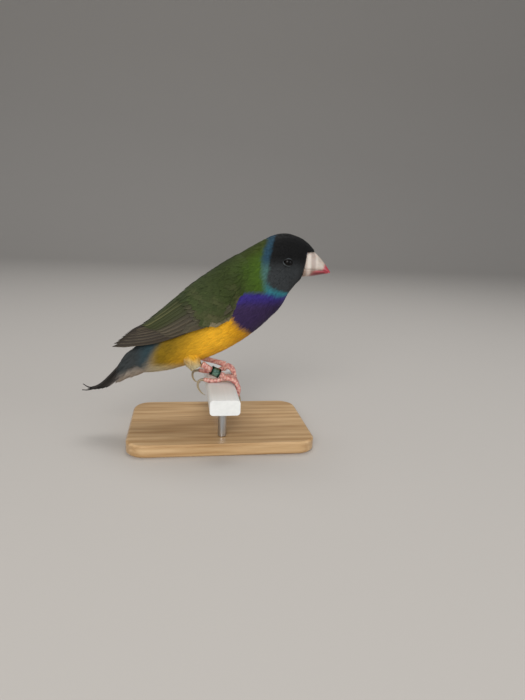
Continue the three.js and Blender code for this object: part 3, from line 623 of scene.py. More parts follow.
# roots in brick order: each row stands one spacing past the last along the side of the body, and each row's
# roots are one spacing apart round it
def scatter(surface, fromPlace, toPlace, spacing, keep=None, jitter=0.35):
    places, shares, sizes = [], [], []
    at, odd = fromPlace, 0
    while at < toPlace:
        gap = spacing(at)
        ring = surface.at(np.full(181, at), np.linspace(-1, 1, 181))
        around = np.linalg.norm(np.diff(ring, axis=0), axis=1).sum()
        count = max(int(around / gap), 5)
        share = -1 + 2 * (np.arange(count) + 0.5 * odd) / count
        places.append(np.full(count, at))
        shares.append(share)
        sizes.append(np.full(count, gap))
        few = np.linspace(-1, 1, 9)
        ahead = surface.at(np.full(9, at + 0.1), few) - surface.at(np.full(9, at), few)
        at += 0.1 * gap * 0.9 / np.median(np.linalg.norm(ahead, axis=1))
        odd = 1 - odd
    places, shares, sizes = [np.concatenate(v) for v in (places, shares, sizes)]
    shown = surface.at(places, shares)
    stretch = np.linalg.norm(surface.at(places, shares + 0.01) - shown, axis=1) / 0.01
    places = places + rng.uniform(-jitter, jitter, len(places)) * 0.1 * sizes
    shares = shares + rng.uniform(-jitter, jitter, len(places)) * sizes / np.maximum(stretch, 1)
    if keep is not None:
        chosen = keep(surface.at(places, shares), places, shares)
        places, shares, sizes = places[chosen], shares[chosen], sizes[chosen]
    return places, shares, sizes


# Eyes and lids
eye = {"radius": 2.3, "depth": 1.5, "place": 3.38, "turn": 88.5, "lidLong": 2.95, "lidHigh": 1.85}
eyeTints = linearTable({"pupil": "#010101", "iris": "#080504", "lid": "#17191a", "rim": "#5c666a"})


# centre = the head's surface at the eye's station - depth * outward direction there
def eyeFrame(side):
    where, turn = np.array(eye["place"]), np.radians(side * eye["turn"])
    surface = onSections(bodySections, where, turn)
    ahead = onSections(bodySections, where - 0.05, turn) - surface
    around = onSections(bodySections, where, turn + 0.05) - surface
    out = unit(np.cross(ahead, around))
    out = out if out[1] * side > 0 else -out
    forward = unit(np.array([1.0, 0.0, -0.12]) - out * out[0])
    return surface, out, forward, np.cross(out, forward) if side < 0 else np.cross(forward, out)


# Contour feathers
coat = {
    "place": (0.0, 1.5, 3.5, 5.0, 7.0, 12.0, 14.0, 16.5), "spacing": (0.62, 0.72, 0.95, 1.15, 1.45, 1.55, 1.8, 1.9),
    "length": (1.5, 2.2, 3.3, 4.6, 6.2, 7.6, 8.5, 8.0),
}
bodyVane = vaneTemplate(4, 9, 0.5, 0.16)
faceVane = vaneTemplate(3, 5, 0.4, 0.15)


def ofCoat(key, where):
    return np.interp(where, coat["place"], coat[key])


# a tone for each vane and for each of its barbs, as factors that vary by the two spreads
def varied(count, columns, byVane, byBarb):
    return rng.normal(1, byVane, (count, 1, 1, 1)) + rng.normal(0, byBarb, (count, 1, columns, 1))


# colour = 0.3 the marking where the vane shows + 0.7 the marking at each point, lighter towards the vane's tip
def coatColours(here, points):
    count, rows, columns = points.shape[:3]
    shown = markings(points[:, -2, columns // 2] * 0.6 + points[:, -1, columns // 2] * 0.4)
    base = 0.3 * shown[:, None, None] + 0.7 * markings(points)
    tone = varied(count, columns, 0.035, 0.07)
    rise = np.linspace(0.93, 1.03, rows)[None, :, None, None]
    return np.clip(base * tone * rise, 0, 1)


# roots kept off the bill's base and the eyes
def clearOfFace(points, places, shares):
    face = np.interp(points[:, 2], (faceLow[1], faceTop[1]), (faceLow[0], faceTop[0]))
    beyond = (points[:, 0] > face + 0.1) & (points[:, 2] < faceTop[1] + 0.2)
    near = np.zeros(len(points), bool)
    for side in (-1, 1):
        surface, out, forward, up = eyeFrame(side)
        flat = points - surface
        oval = np.hypot((flat @ forward) / (eye["lidLong"] + 0.15), (flat @ up) / (eye["lidHigh"] + 0.15))
        near |= (oval < 1) & (points[:, 1] * side > 0)
    return ~beyond & ~near


def makeCoat():
    tracts = [
        ("faceCoat", 0.05, 2.4, faceVane, "hood_feathers"), ("hoodCoat", 2.4, 4.7, faceVane, "hood_feathers"),
        ("napeCoat", 4.7, 6.5, bodyVane, "nape_feathers"), ("mantleCoat", 6.5, 9.4, bodyVane, "breast_feathers"),
        ("flankCoat", 9.4, 12.1, bodyVane, "breast_feathers"), ("rumpCoat", 12.1, 14.2, bodyVane, "rump_feathers"),
    ]
    total = 0
    for name, start, end, template, slotName in tracts:
        places, shares, sizes = scatter(body, start, end, lambda at: ofCoat("spacing", at), clearOfFace)
        count = len(places)
        length = ofCoat("length", places) * rng.uniform(0.85, 1.15, count)
        width = sizes * rng.uniform(1.6, 1.9, count)
        heading = rng.normal(0, 0.06, count)
        breast = 0.85 * np.exp(-((places - 4.8) / 1.05) ** 2) * smoothStep(0.5, 0.9, np.abs((shares + 1) % 2 - 1))
        lift = (-0.75 * np.interp(places, (0, 4), (0.5, 1)) + 0.6 * breast, rng.uniform(0.0, 0.09, count) + breast)
        featherPiece(name, body, (places, shares), heading, length, width, lift, template, coatColours,
                     bodyFeather, slotName)
        total += count
    print("coat of", total, "feathers")


makeCoat()


# Wings: tiers of vanes as on the real wing, each from the feather nearest the back to the one nearest the belly
wing = {
    "primaries": {"count": 9, "from": (3.8, 70, 7.0, 6, 2.1, 0.55), "to": (3.0, 97, 8.8, 76, 1.7, 0.3), "ease": 1.8},
    "secondaries": {"count": 7, "from": (3.4, 40, 6.15, 33, 2.9, 0.85), "to": (2.8, 90, 5.3, 84, 2.4, 0.6)},
    "tertials": {"count": 3, "from": (3.2, 12, 5.2, 9, 3.1, 1.15), "to": (3.3, 34, 6.3, 20, 3.1, 0.95)},
    "primaryCoverts": {"count": 6, "from": (2.6, 92, 4.2, 86, 1.5, 0.9), "to": (2.3, 101, 4.5, 92, 1.3, 0.75)},
    "greaterCoverts": {"count": 9, "from": (2.2, 20, 4.1, 20, 2.4, 1.4), "to": (1.9, 90, 3.7, 88, 2.0, 1.1)},
}
wingTints = {  # web and outer edge of the tier's feather nearest the back, then of the one nearest the belly
    "primaries": ("#332c25", "#665c4a", "#383129", "#7d7361"),
    "secondaries": ("#3a3f24", "#454a29", "#3e382b", "#867c69"),
    "tertials": ("#3a4223", "#4c522e", "#3d4226", "#7a7850"),
    "primaryCoverts": ("#4a4535", "#7a7360", "#4a4535", "#7a7360"),
    "greaterCoverts": ("#353f20", "#404928", "#413f2b", "#6b6751"),
}
longVane = {"rows": 22, "columns": 9, "tip": 0.1, "sink": 0.7}


def flightTemplate(rows, columns, tip):
    template = vaneTemplate(rows, columns, 0.0, 0.0)
    s = np.linspace(0, 1, rows)[:, None]
    u = np.linspace(-1, 1, columns)[None, :]
    return (s * (1 - tip * u ** 2 * smoothStep(0.7, 1, s)), u + 0 * s) + template[2:]


# one mesh of flight feathers from parts of points, faces, tints, vane map and a patch of the skin's unwrap
def flightPiece(name, parts, *labels, flatUnder=False):
    points, faces = together([part[:2] for part in parts])
    flat = np.concatenate([np.full(len(f), k % 3 > 0) for k, f in enumerate(faces)]) if flatUnder else None
    mesh = meshOf(name, points, faces, flat)
    colours, vaneMap, patches = [np.concatenate([part[k] for part in parts]) for k in (2, 3, 4)]
    paint(mesh, colours)
    giveMap(mesh, "vane", vaneMap)
    giveMap(mesh, "OFBake", patches)
    return place(name, mesh, flightFeather, *labels)


def flightPart(vane, template, flip, corner):
    points, tint, vaneMap = vane
    patch = np.array(corner) + np.stack([template[0], template[1] / 2 + 0.5], -1).reshape(-1, 2) * 0.003
    faces = [template[k][:, ::-1] if flip else template[k] for k in (2, 3, 4)]
    return points.reshape(-1, 3), faces, tint.reshape(-1, 3), vaneMap.reshape(-1, 2), patch


# place = root + (tip - root) * share; turn = the same + across * half / radius; height = lift, up to 65 % less
# near the back line at the wing's front, - sink * (1 - share)^2 + 0.22 * across + the shaft's low ridge
# - 0.12 * u^2 - 0.22 towards the tip
def wingVane(side, spec, template, sink, colours):
    rootPlace, rootTurn, tipPlace, tipTurn, half, lift = spec
    share, u = template[:2]
    width = np.interp(share, (0, 0.25, 0.6, 0.85, 1), (0.7, 0.98, 1.0, 0.82, 0.2))
    across = u * width
    places = rootPlace + (tipPlace - rootPlace) * share
    radius = np.maximum(along(wingSections[:, 4:5], places)[..., 0], 2.8)
    turn = np.radians(rootTurn + (tipTurn - rootTurn) * share) + across * half / radius
    ridge = 0.1 * np.exp(-(u / 0.12) ** 2)
    lift = lift * (1 - 0.65 * smoothStep(45, 10, np.degrees(turn)) * smoothStep(6.0, 4.5, places))  # flat on the back
    height = lift - sink * (1 - share) ** 2 + 0.22 * across + ridge - 0.12 * u ** 2 - 0.22 * smoothStep(0.6, 1, share)
    points = onSections(wingSections, places, side * turn, height)
    base, edge = colours
    tone = rng.normal(1, 0.04)
    outer = (smoothStep(0.65, 0.95, u) * np.interp(share, (0.3, 0.9), (0.35, 1)))[..., None]
    tint = (base * (1 - outer) + edge * outer) * tone * np.where(abs(u) < 0.1, 0.75, 1.0)[..., None]
    run = share * np.linalg.norm(points[-1, template[0].shape[1] // 2] - points[0, template[0].shape[1] // 2])
    vaneMap = np.stack([np.abs(across) * half / 10, run / 10], -1)
    return points, tint, vaneMap


def makeWing(name, side):
    template = flightTemplate(longVane["rows"], longVane["columns"], longVane["tip"])
    parts = []
    for tierName, tier in wing.items():
        tierTints = [linearOf(value) for value in wingTints[tierName]]
        for i in range(tier["count"]):
            share = i / (tier["count"] - 1)
            eased = share ** tier.get("ease", 1)
            shares = (share, share, eased, eased, share, share)
            spec = [a + (b - a) * s for a, b, s in zip(tier["from"], tier["to"], shares)]
            colours = [a + (b - a) * smoothStep(0.25, 0.6, share) for a, b in zip(tierTints[:2], tierTints[2:])]
            vane = wingVane(side, spec, template, longVane["sink"], colours)
            parts.append(flightPart(vane, template, side > 0, (spec[0] / 9, (side * spec[1] / 180 + 1) / 2)))
    return flightPiece(name, parts, "wing_feathers", flatUnder=True)


shoulder = {"frontZ": (28, 33, 38, 41, 44, 46, 50, 60), "frontX": (3.4, 4.8, 6.0, 6.8, 7.8, 9.6, 10.6, 12.5),
            "lowX": (-26.7, -17.2, -10.7, -4.1, 3.3, 8), "lowZ": (23.5, 26.6, 28.8, 31.1, 32.7, 34), "margin": 0.9}


# the small coverts' green, mottled brown at the wing's front edge and in patches, paler brown along its low edge
def shoulderColours(here, points):
    count, rows, columns = points.shape[:3]
    shown = points[:, -2, columns // 2]
    x, y, z = shown.T
    front = smoothStep(5.0, 1.5, np.interp(z, shoulder["frontZ"], shoulder["frontX"]) - x) * smoothStep(47, 43, z)
    mottle = 0.3 * smoothStep(42, 34, z) + 0.35 * waver(shown, 2.6) * smoothStep(52, 44, z)
    low = smoothStep(2.4, 0.6, z - np.interp(x, shoulder["lowX"], shoulder["lowZ"]))
    base = mix(mix(greens(shown), tints["mottle"], np.clip(0.5 * front + mottle, 0, 0.8)), tints["wingEdge"], low)
    tone = varied(count, columns, 0.05, 0.06)
    rise = np.linspace(0.92, 1.05, rows)[None, :, None, None]
    return np.clip(base[:, None, None] * tone * rise, 0, 1)


# height of each point over the body's surface, along the nearest place's normal
def clearance(points):
    near = body.points[80:240:3, ::4].reshape(-1, 3)
    normals = body.normals[80:240:3, ::4].reshape(-1, 3)
    nearest = ((points[:, None] - near[None]) ** 2).sum(-1).argmin(1)
    return ((points - near[nearest]) * normals[nearest]).sum(-1)


# small coverts in brick order over the front of the folded wing, which rise from the body's coat at its front
# edge to the height of the longer coverts' roots
def makeShoulder(name, side):
    frontOf = lambda z: np.interp(z, shoulder["frontZ"], shoulder["frontX"])

    def inside(points, places, shares):
        low = np.interp(points[:, 0], shoulder["lowX"], shoulder["lowZ"]) + shoulder["margin"]
        return (shares * side > 0) & (points[:, 2] > low) & (points[:, 0] < frontOf(points[:, 2]))

    places, shares, sizes = scatter(wingFace, 0.2, 3.0, lambda at: np.interp(at, (0.5, 3.0), (1.3, 1.9)), inside)
    here = wingFace.at(places, shares)
    count = len(places)
    behind = smoothStep(0, 6.5, frontOf(here[:, 2]) - here[:, 0])
    gap = clearance(here)
    top = np.interp(np.abs(shares), (0.03, 0.28), (0.5, 1.8))
    low = (-gap - 0.5) * (1 - behind) + (top - 1.3) * behind
    high = (0.15 - gap) * (1 - behind) + top * behind
    length = sizes * 3.2
    featherPiece(name, wingFace, (places, shares), rng.normal(0, 0.06, count), length, sizes * 2.2,
                 (low, high + rng.uniform(-0.05, 0.06, count)), bodyVane, shoulderColours, bodyFeather,
                 "wing_feathers", camber=0.06)


# the mantle's long loose feathers over the back line, between the wings
def makeCape():
    def inside(points, places, shares):
        return np.abs(shares) < np.interp(places, (0.5, 2.0, 4.5), (0.2, 0.13, 0.06))

    places, shares, sizes = scatter(wingFace, 0.4, 4.4, lambda at: 1.6, inside)
    count = len(places)
    high = np.interp(places, (0.4, 1.8, 3.6, 4.4), (0.1, 0.4, 0.35, 0.4)) + rng.uniform(-0.04, 0.05, count)
    featherPiece("mantle_cape", wingFace, (places, shares), rng.normal(0, 0.06, count), sizes * 4.0, sizes * 2.4,
                 (high - 1.4, high), bodyVane, shoulderColours, bodyFeather, "wing_feathers", camber=0.06)


for wingName, side in (("right", -1), ("left", 1)):
    piece = makeWing("wing_vanes_" + wingName, side)
    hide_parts("wing_" + wingName)
    makeShoulder("wing_shoulder_" + wingName, side)
makeCape()
print("wings made")


# Tail
tail = {
    "line": [(-38.4, 17.2), (-43.5, 12.9), (-47.3, 8.9), (-50.9, 4.8), (-54.1, 1.3), (-57.2, -1.7), (-60.5, -3.6),
             (-65.8, -4.8)],
    "pairs": 6, "half": 1.9,
}
tailTints = (linearOf("#231f1c"), linearOf("#77706a"))


# point = line - low square to it; low = pair * (1.08 - 0.85 * max(share * end, 0.35)) + 0.14 * across * side
# + 0.022 * y^2 - 0.08 * ridge + 0.1 * u^2; y = side * (0.9 + pair * (0.25 + 0.32 * share)) + across * half
def rectrix(side, i, template):
    share, u = template[:2]
    end = 0.94 - 0.045 * i
    width = np.interp(share, (0, 0.33, 0.7, 0.9, 1), (0.65, 1.0, 0.9, 0.62, 0.2))
    across = u * width
    middle, ahead, back = [evenPoints(tail["line"], share * end + step, 600) for step in (0, 0.01, -0.01)]
    way = unit(ahead - back)
    y = side * (0.9 + i * (0.25 + 0.32 * share)) + across * tail["half"]
    low = i * (1.08 - 0.85 * np.maximum(share * end, 0.35)) + 0.14 * across * side + 0.022 * y ** 2
    low = low - 0.08 * np.exp(-(u / 0.12) ** 2) + 0.1 * u ** 2
    points = np.stack([middle[..., 0] - way[..., 1] * low, y, middle[..., 1] + way[..., 0] * low], -1)
    outer = smoothStep(-0.3, 0.5, u * side)
    pale = np.clip(0.35 * smoothStep(0.6, 1.0, np.abs(u)) + (0, 0, 0.05, 0.1, 0.35, 0.9)[i] * outer, 0, 1)[..., None]
    tint = (tailTints[0] * (1 - pale) + tailTints[1] * pale) * rng.normal(1, 0.05)
    return points, tint, np.stack([np.abs(across) * tail["half"] / 10, share * 3.5], -1)


def makeTail():
    template = flightTemplate(20, 9, 0.08)
    parts = []
    for side in (-1, 1):
        for i in range(tail["pairs"]):
            parts.append(flightPart(rectrix(side, i, template), template, True, (0.9, 0.5 + side * 0.02 * (i + 1))))
        rise = 2.2 if side > 0 else 0.0
        pinPath = [(-56.5, -2.6), (-60.0, -4.0), (-63.2, -4.8 + 0.3 * rise), (-65.8, -4.7 + rise)]
        pinLine = [(x, side * (0.9 + 0.15 * k), z) for k, (x, z) in enumerate(pinPath)]
        points, faces = closedTube(tube(pinLine, [0.5, 0.4, 0.3, 0.2], 14, 8))
        colours = np.tile(tailTints[0] * 0.8, (len(points), 1))
        parts.append((points, faces, colours, points[:, :2] / 10, np.full((len(points), 2), 0.95)))
    return flightPiece("tail_vanes", parts, "tail_feathers", "tail")


# longer, looser feathers over and under the tail's root
def makeTailCoverts():
    places, shares, sizes = scatter(body, 13.6, 15.3, lambda at: 1.7)
    count = len(places)
    length = 9 - 3.4 * smoothStep(0.45, 0.8, np.abs(shares))
    featherPiece("tail_coverts", body, (places, shares), rng.normal(0, 0.06, count), length,
                 sizes * 2.0, (np.full(count, -0.7), rng.uniform(0.5, 1.3, count)), bodyVane, coatColours,
                 bodyFeather, "rump_feathers")


makeTail()
makeTailCoverts()
print("tail made")


# Thigh feathers
# downy vanes in rows down a tapering tube round the thigh's path
def makeThighCoat(name, leg):
    grid = tube(thighPath(leg), [3.3, 3.6, 2.3], 41, 257)
    limb = Surface(np.concatenate([grid[:, :256], grid[:, :1]], 1), 1)
    places, shares, sizes = scatter(limb, 0.05, 0.97, lambda at: 0.72)
    count = len(places)

    def downColours(here, points):
        high = smoothStep(8.3, 14.0, points[..., 2] + 1.2 * waver(points, 1.5))
        tone = varied(count, points.shape[2], 0.05, 0.06)
        return np.clip(mix(tints["down"], markings(points), high) * tone, 0, 1)

    featherPiece(name, limb, (places, shares), rng.normal(0, 0.28, count), rng.uniform(2.6, 4.6, count),
                 sizes * 1.6, (np.full(count, -0.5), rng.uniform(0.0, 0.8, count)), bodyVane, downColours,
                 bodyFeather, "thigh_feathers")


for name, leg in legs.items():
    makeThighCoat("thigh_coat_" + name, leg)
print("thighs made")


# Bill
upperBill = np.array([
    (39.9, 65.2, 38.5, 56.1, 5.1), (42.3, 65.0, 41.3, 55.85, 4.8), (44.7, 63.5, 44.0, 55.75, 4.2),
    (47.0, 61.5, 46.6, 55.65, 3.4), (49.2, 59.2, 49.0, 55.4, 2.4), (51.2, 56.7, 50.8, 54.9, 1.4),
    (52.6, 54.9, 52.4, 54.1, 0.45),
])
lowerBill = np.array([
    (37.9, 51.9, 38.4, 56.1, 4.8), (41.0, 52.2, 41.3, 55.85, 4.5), (44.0, 52.6, 44.0, 55.75, 3.85),
    (46.8, 53.1, 46.6, 55.65, 3.0), (49.4, 53.6, 49.0, 55.4, 1.95), (51.7, 54.0, 51.5, 54.6, 0.45),
])
billTints = linearTable({"ivory": "#ddd2c8", "tip": "#bdb0a3", "shade": "#8d7568", "red": "#b03644",
                         "deepRed": "#651019"})


# ivory, with a pinkish brown painted shade in a broad band across the upper bill, towards the face and along the
# mouth line, and a red tip that runs back along the cutting edges
def billColours(points):
    t = billTints
    x, y, z = np.moveaxis(points, -1, 0)
    wave = 0.3 * waver(points, 1.7)
    # painted shade: a broad dark band across the upper bill, and a darker base by the face and along the mouth line
    shadeBand = 0.62 * smoothStep(41.0, 42.3, x) * smoothStep(44.9, 43.6, x)
    colour = mix(t["ivory"] + 0 * points, t["tip"], smoothStep(43.5, 46.0, x))
    base = 0.5 * smoothStep(40.5, 38.8, x) + 0.45 * smoothStep(55.9, 55.3, z)
    colour = mix(colour, t["shade"], np.clip(shadeBand + base, 0, 1))
    tip = smoothStep(-0.8, 0.9, (x - 48.6) * 0.8 + (57.0 - z) * 0.45 + wave)
    edge = smoothStep(0.9, 0.1, np.abs(z - 55.1)) * smoothStep(42.5, 46.5, x) * 0.8
    low = smoothStep(55.7, 55.2, z) * smoothStep(41.5, 45.5, x + 0.6 * (55 - z))
    red = np.clip(np.maximum.reduce([tip, edge, low * 0.9]), 0, 1)
    colour = mix(colour, t["red"], red)
    return mix(colour, t["deepRed"], red * smoothStep(55.2, 54.2, z) * smoothStep(51.0, 48.5, x))


# ring = mouth line + up * (floor + (deep - floor) * sin^0.9) and half * cos * (1 + 0.1 sin) across
def billHalf(sections, side, rings=60, steps=28):
    row = along(sections, np.linspace(0, len(sections) - 1, rings))
    ridge, mouth, half = row[:, :2], row[:, 2:4], row[:, 4:5]
    up = ridge - mouth
    deep = np.linalg.norm(up, axis=1, keepdims=True)
    up = up / deep
    turn = np.linspace(0, np.pi, steps)[None]
    floor = 0.02
    high = floor + (deep - floor) * np.sin(turn) ** 0.9
    wide = half * np.cos(turn) * (1 + 0.1 * np.sin(turn)) * side
    grid = np.stack([mouth[:, :1] + up[:, :1] * high, wide, mouth[:, 1:] + up[:, 1:] * high], -1)
    if side > 0:
        hole = np.array([43.1, 0, 62.3])
        near = np.linalg.norm((grid - hole)[..., [0, 2]], axis=-1)
        outward = np.stack([0 * near, np.sign(grid[..., 1]), 0 * near], -1)
        grid = grid - outward * (0.5 * np.exp(-(near / 0.45) ** 2))[..., None]
    return closedTube(grid)


# Rhamphotheca, the horn sheath of a bill: satin, slightly translucent, with faint growth lines across it
horn = mottledMaterial("billHorn", 700.0, 4.0, 0.85, 1.1, Roughness=0.32, Coat_Weight=0.2, Coat_Roughness=0.2,
                       Subsurface_Weight=0.15, Subsurface_Scale=0.001, Subsurface_Radius=(1.0, 0.5, 0.35))
hornPlace = addNode(horn.node_tree, "ShaderNodeTexCoord")
growthLines = addNode(horn.node_tree, "ShaderNodeTexWave", [(hornPlace.outputs["Object"], "Vector")],
                      bands_direction="X", Scale=420.0, Distortion=1.5, Detail=2.0)
addRelief(horn.node_tree, horn.node_tree.nodes["Principled BSDF"], growthLines.outputs["Fac"], (0.12, 0.0001))
for name, sections, side in (("bill_upper", upperBill, 1), ("bill_lower", lowerBill, -1)):
    points, faces = billHalf(sections, side)
    paintedPiece(name + "_horn", points, faces, billColours(points), horn, "bill_horn", name)
print("bill made")


# Eyes
# Wet cornea over a near-black brown iris and a black pupil: small soft highlights, no texture of its own
cornea = mottledMaterial("wetEye", 3500.0, 2.0, 0.6, 1.4, Roughness=0.22, Specular_IOR_Level=0.16)
# Bare eyelid skin: grey, matt, with fine folds round the eye
lidSkin = mottledMaterial("lidSkin", 2500.0, 3.0, 0.7, 1.2, bump=(0.3, 0.0001), Roughness=0.6)
for name, side in (("right", -1), ("left", 1)):
    surface, out, forward, up = eyeFrame(side)
    tilt = np.linspace(0, np.pi, 32)[:, None]
    turn = np.linspace(0, 2 * np.pi, 48, endpoint=False)[None]
    ball = (np.cos(tilt)[..., None] * out + (np.sin(tilt) * np.cos(turn))[..., None] * forward
            + (np.sin(tilt) * np.sin(turn))[..., None] * up)
    grid = surface - eye["depth"] * out + eye["radius"] * ball
    points, faces = closedTube(grid[1:-1], flip=side > 0)
    away = np.degrees(np.arccos(np.clip(unit(points - surface + eye["depth"] * out) @ out, -1, 1)))
    colours = mix(eyeTints["pupil"] + 0 * points, eyeTints["iris"], smoothStep(24, 28, away))
    paintedPiece("eyeball_" + name, points, faces, colours, cornea, "eye", "eye_" + name)
    # lids: an oval band from the eye's opening out to the feathers, with a pale rim and small tubercles on it
    angle = np.linspace(0, 2 * np.pi, 72, endpoint=False)[:, None]
    across = np.array([-0.55, -0.5, -0.3, 0.0, 0.3, 0.6, 0.9, 1.0, 0.6, 0.0, -0.4])[None]  # share of the band's width
    rise = np.array([-0.5, -0.02, 0.16, 0.2, 0.24, 0.2, 0.02, -0.5, -0.7, -0.7, -0.7])[None]
    bumps = 0.05 * np.sin(18 * angle) * (np.abs(across - 0.3) < 0.35) * (rise > 0)
    corner = 1 + 0.07 * np.cos(2 * angle) ** 8
    long = (2.35 + 0.5 * across) * np.cos(angle) * corner
    high = (1.65 + 0.42 * across) * np.sin(angle)
    seat = np.sqrt(np.maximum(eye["radius"] ** 2 - np.minimum(long ** 2 + high ** 2, 4.6), 0)) - eye["depth"]
    lift = seat + rise + bumps
    grid = surface + long[..., None] * forward + high[..., None] * up + lift[..., None] * out
    quads = ringFaces(*grid.shape[:2])
    quads = quads[:, ::-1] if side > 0 else quads
    pale = np.exp(-((across - 0.3) / 0.22) ** 2) + 0 * angle
    colours = mix(eyeTints["lid"] + 0 * grid, eyeTints["rim"], pale).reshape(-1, 3)
    paintedPiece("lids_" + name, grid.reshape(-1, 3), [quads], colours, lidSkin, "eye")
print("eyes made")


# Legs
# Horny scutes over thin skin: satin pink, with painted shade in the creases between the scutes and painted highlights
# on their faces
scalySkin = mottledMaterial("scalySkin", 1600.0, 3.0, 0.8, 1.15, bump=(0.25, 0.0001), Roughness=0.42,
                            Subsurface_Weight=0.25, Subsurface_Scale=0.0008, Subsurface_Radius=(1.0, 0.4, 0.3))
# Claw keratin: smooth grey-brown horn, paler to the tip
clawHorn = mottledMaterial("clawHorn", 1200.0, 3.0, 0.75, 1.2, Roughness=0.3, Coat_Weight=0.2)


# radius + height * (sawtooth along the limb, steep at each scute's lower edge) on the upper side only
def scutes(count, height):
    def shape(share, angle):
        saw = (share * count) % 1
        step = saw ** 0.6 * smoothStep(1.0, 0.9, saw)
        return height * (step - 0.5) * smoothStep(-0.6, 0.4, np.sin(angle))
    return shape


legTints = linearTable({"pink": "#cf8a80", "creaseShadeRed": "#8e3540", "pale": "#eccbb9", "claw": "#8d7c62",
                        "clawTip": "#b9a988"})


# colours of a grid's points, and those of the two hubs that close its ends
def withHubs(colour):
    return np.concatenate([colour.reshape(-1, 3), colour[[0, -1]].mean(1)])


# painted highlight on each scute's face, painted shade in its crease, and the same red in blotches of about a
# millimetre
def limbColours(grid, count):
    t = legTints
    share = np.linspace(0, 1, grid.shape[0])[:, None]
    saw = (share * count + 0.6 * waver(grid, 1.3)) % 1
    # painted shade in the creases between the scutes
    creaseShadeRed = smoothStep(0.75, 0.95, saw) * (0.35 + 0.4 * smoothStep(-0.3, 0.5, waver(grid + 5, 1.0)))
    blotch = smoothStep(0.0, 0.8, waver(grid, 0.9))
    # painted highlight on the raised face of each scute
    colour = mix(t["pink"] + 0 * grid, t["pale"], 0.6 * smoothStep(0.2, 0.6, saw) * (1 - blotch))
    colour = mix(colour, t["creaseShadeRed"], np.clip(creaseShadeRed + 0.45 * blotch, 0, 1))
    return withHubs(colour)


def legLine(points, y):
    return [(x, y, z) for x, z in points]


def makeLeg(name, leg):
    foot = leg["foot"]
    shankGrid = tube(legLine(leg["shank"], foot), [1.7, 1.4, 1.25, 1.25, 1.35, 1.6], 90, 28, scutes(8, 0.1))
    paintedPiece("scaly_shank_" + name, *closedTube(shankGrid), limbColours(shankGrid, 8), scalySkin, "leg_scales",
                 "shank_" + name)
    parts, colours, clawParts, clawColours = [], [], [], []

    def addToe(path, radii, count):
        grid = tube(path, radii, count * 9, 20, scutes(count, 0.11))
        parts.append(closedTube(grid))
        colours.append(limbColours(grid, count))

    def addClaw(path, radii):
        grid = tube(path, radii, 26, 14)
        clawParts.append(closedTube(grid))
        share = np.linspace(0, 1, 26)[:, None] + 0 * grid[..., 0]
        clawColours.append(withHubs(mix(legTints["claw"] + 0 * grid, legTints["clawTip"], share)))

    for aside, length in leg["spreads"]:
        down = -6.2 * length
        asides = (0, 0.5, 0.8, 0.92, 1)
        toe = [(x, foot + aside * asides[i], z) for i, (x, z) in enumerate(leg["toes"] + [(8.05, down)])]
        addToe(toe, [1.4, 1.3, 1.12, 1.26, 1.04, 1.2, 1.0, 0.75], 8)
        claw = [(8.05, down + 0.5), (8.8, down - 1.1), (8.8, down - 2.5), (8.0, down - 3.7)]
        addClaw(legLine(claw, foot + aside), [0.72, 0.6, 0.42, 0.1])
    addToe(legLine(leg["hind"], foot + 0.4), [1.2, 1.1, 0.98, 1.12, 0.95], 6)
    addClaw(legLine(leg["hindClaw"], foot + 0.4), [0.65, 0.6, 0.5, 0.36, 0.1])
    padX, padZ, padRadius = leg["pad"]
    pad = tube([(padX - padRadius, foot, padZ), (padX, foot, padZ), (padX + padRadius, foot, padZ)],
               [0.2, padRadius, 0.2], 24, 20)
    parts.append(closedTube(pad))
    colours.append(limbColours(pad, 3))
    paintedPiece("scaly_foot_" + name, *together(parts), np.concatenate(colours), scalySkin, "leg_scales",
                 "foot_" + name)
    paintedPiece("claws_" + name, *together(clawParts), np.concatenate(clawColours), clawHorn, "leg_scales")


for name, leg in legs.items():
    makeLeg(name, leg)
print("legs made")


# Leg band, perch and stand
band = {"inner": 1.75, "outer": 2.35, "height": 4.5, "place": 0.62, "drop": 0.25, "tilt": 0.1}
bandDyeAndHighlight = linearTable({"face": "#6f9081", "rim": "#14291f"})


# Anodised aluminium: dark green dye over bright metal, with a fine mottle in its tint and an uneven shine; the tint
# carries a painted highlight across the ring's middle
anodised = mottledMaterial("anodisedAluminium", 1100.0, 4.0, 0.6, 1.5, (0.35, 0.65), gloss=(0.2, 0.42),
                           Metallic=1.0, Roughness=0.28)


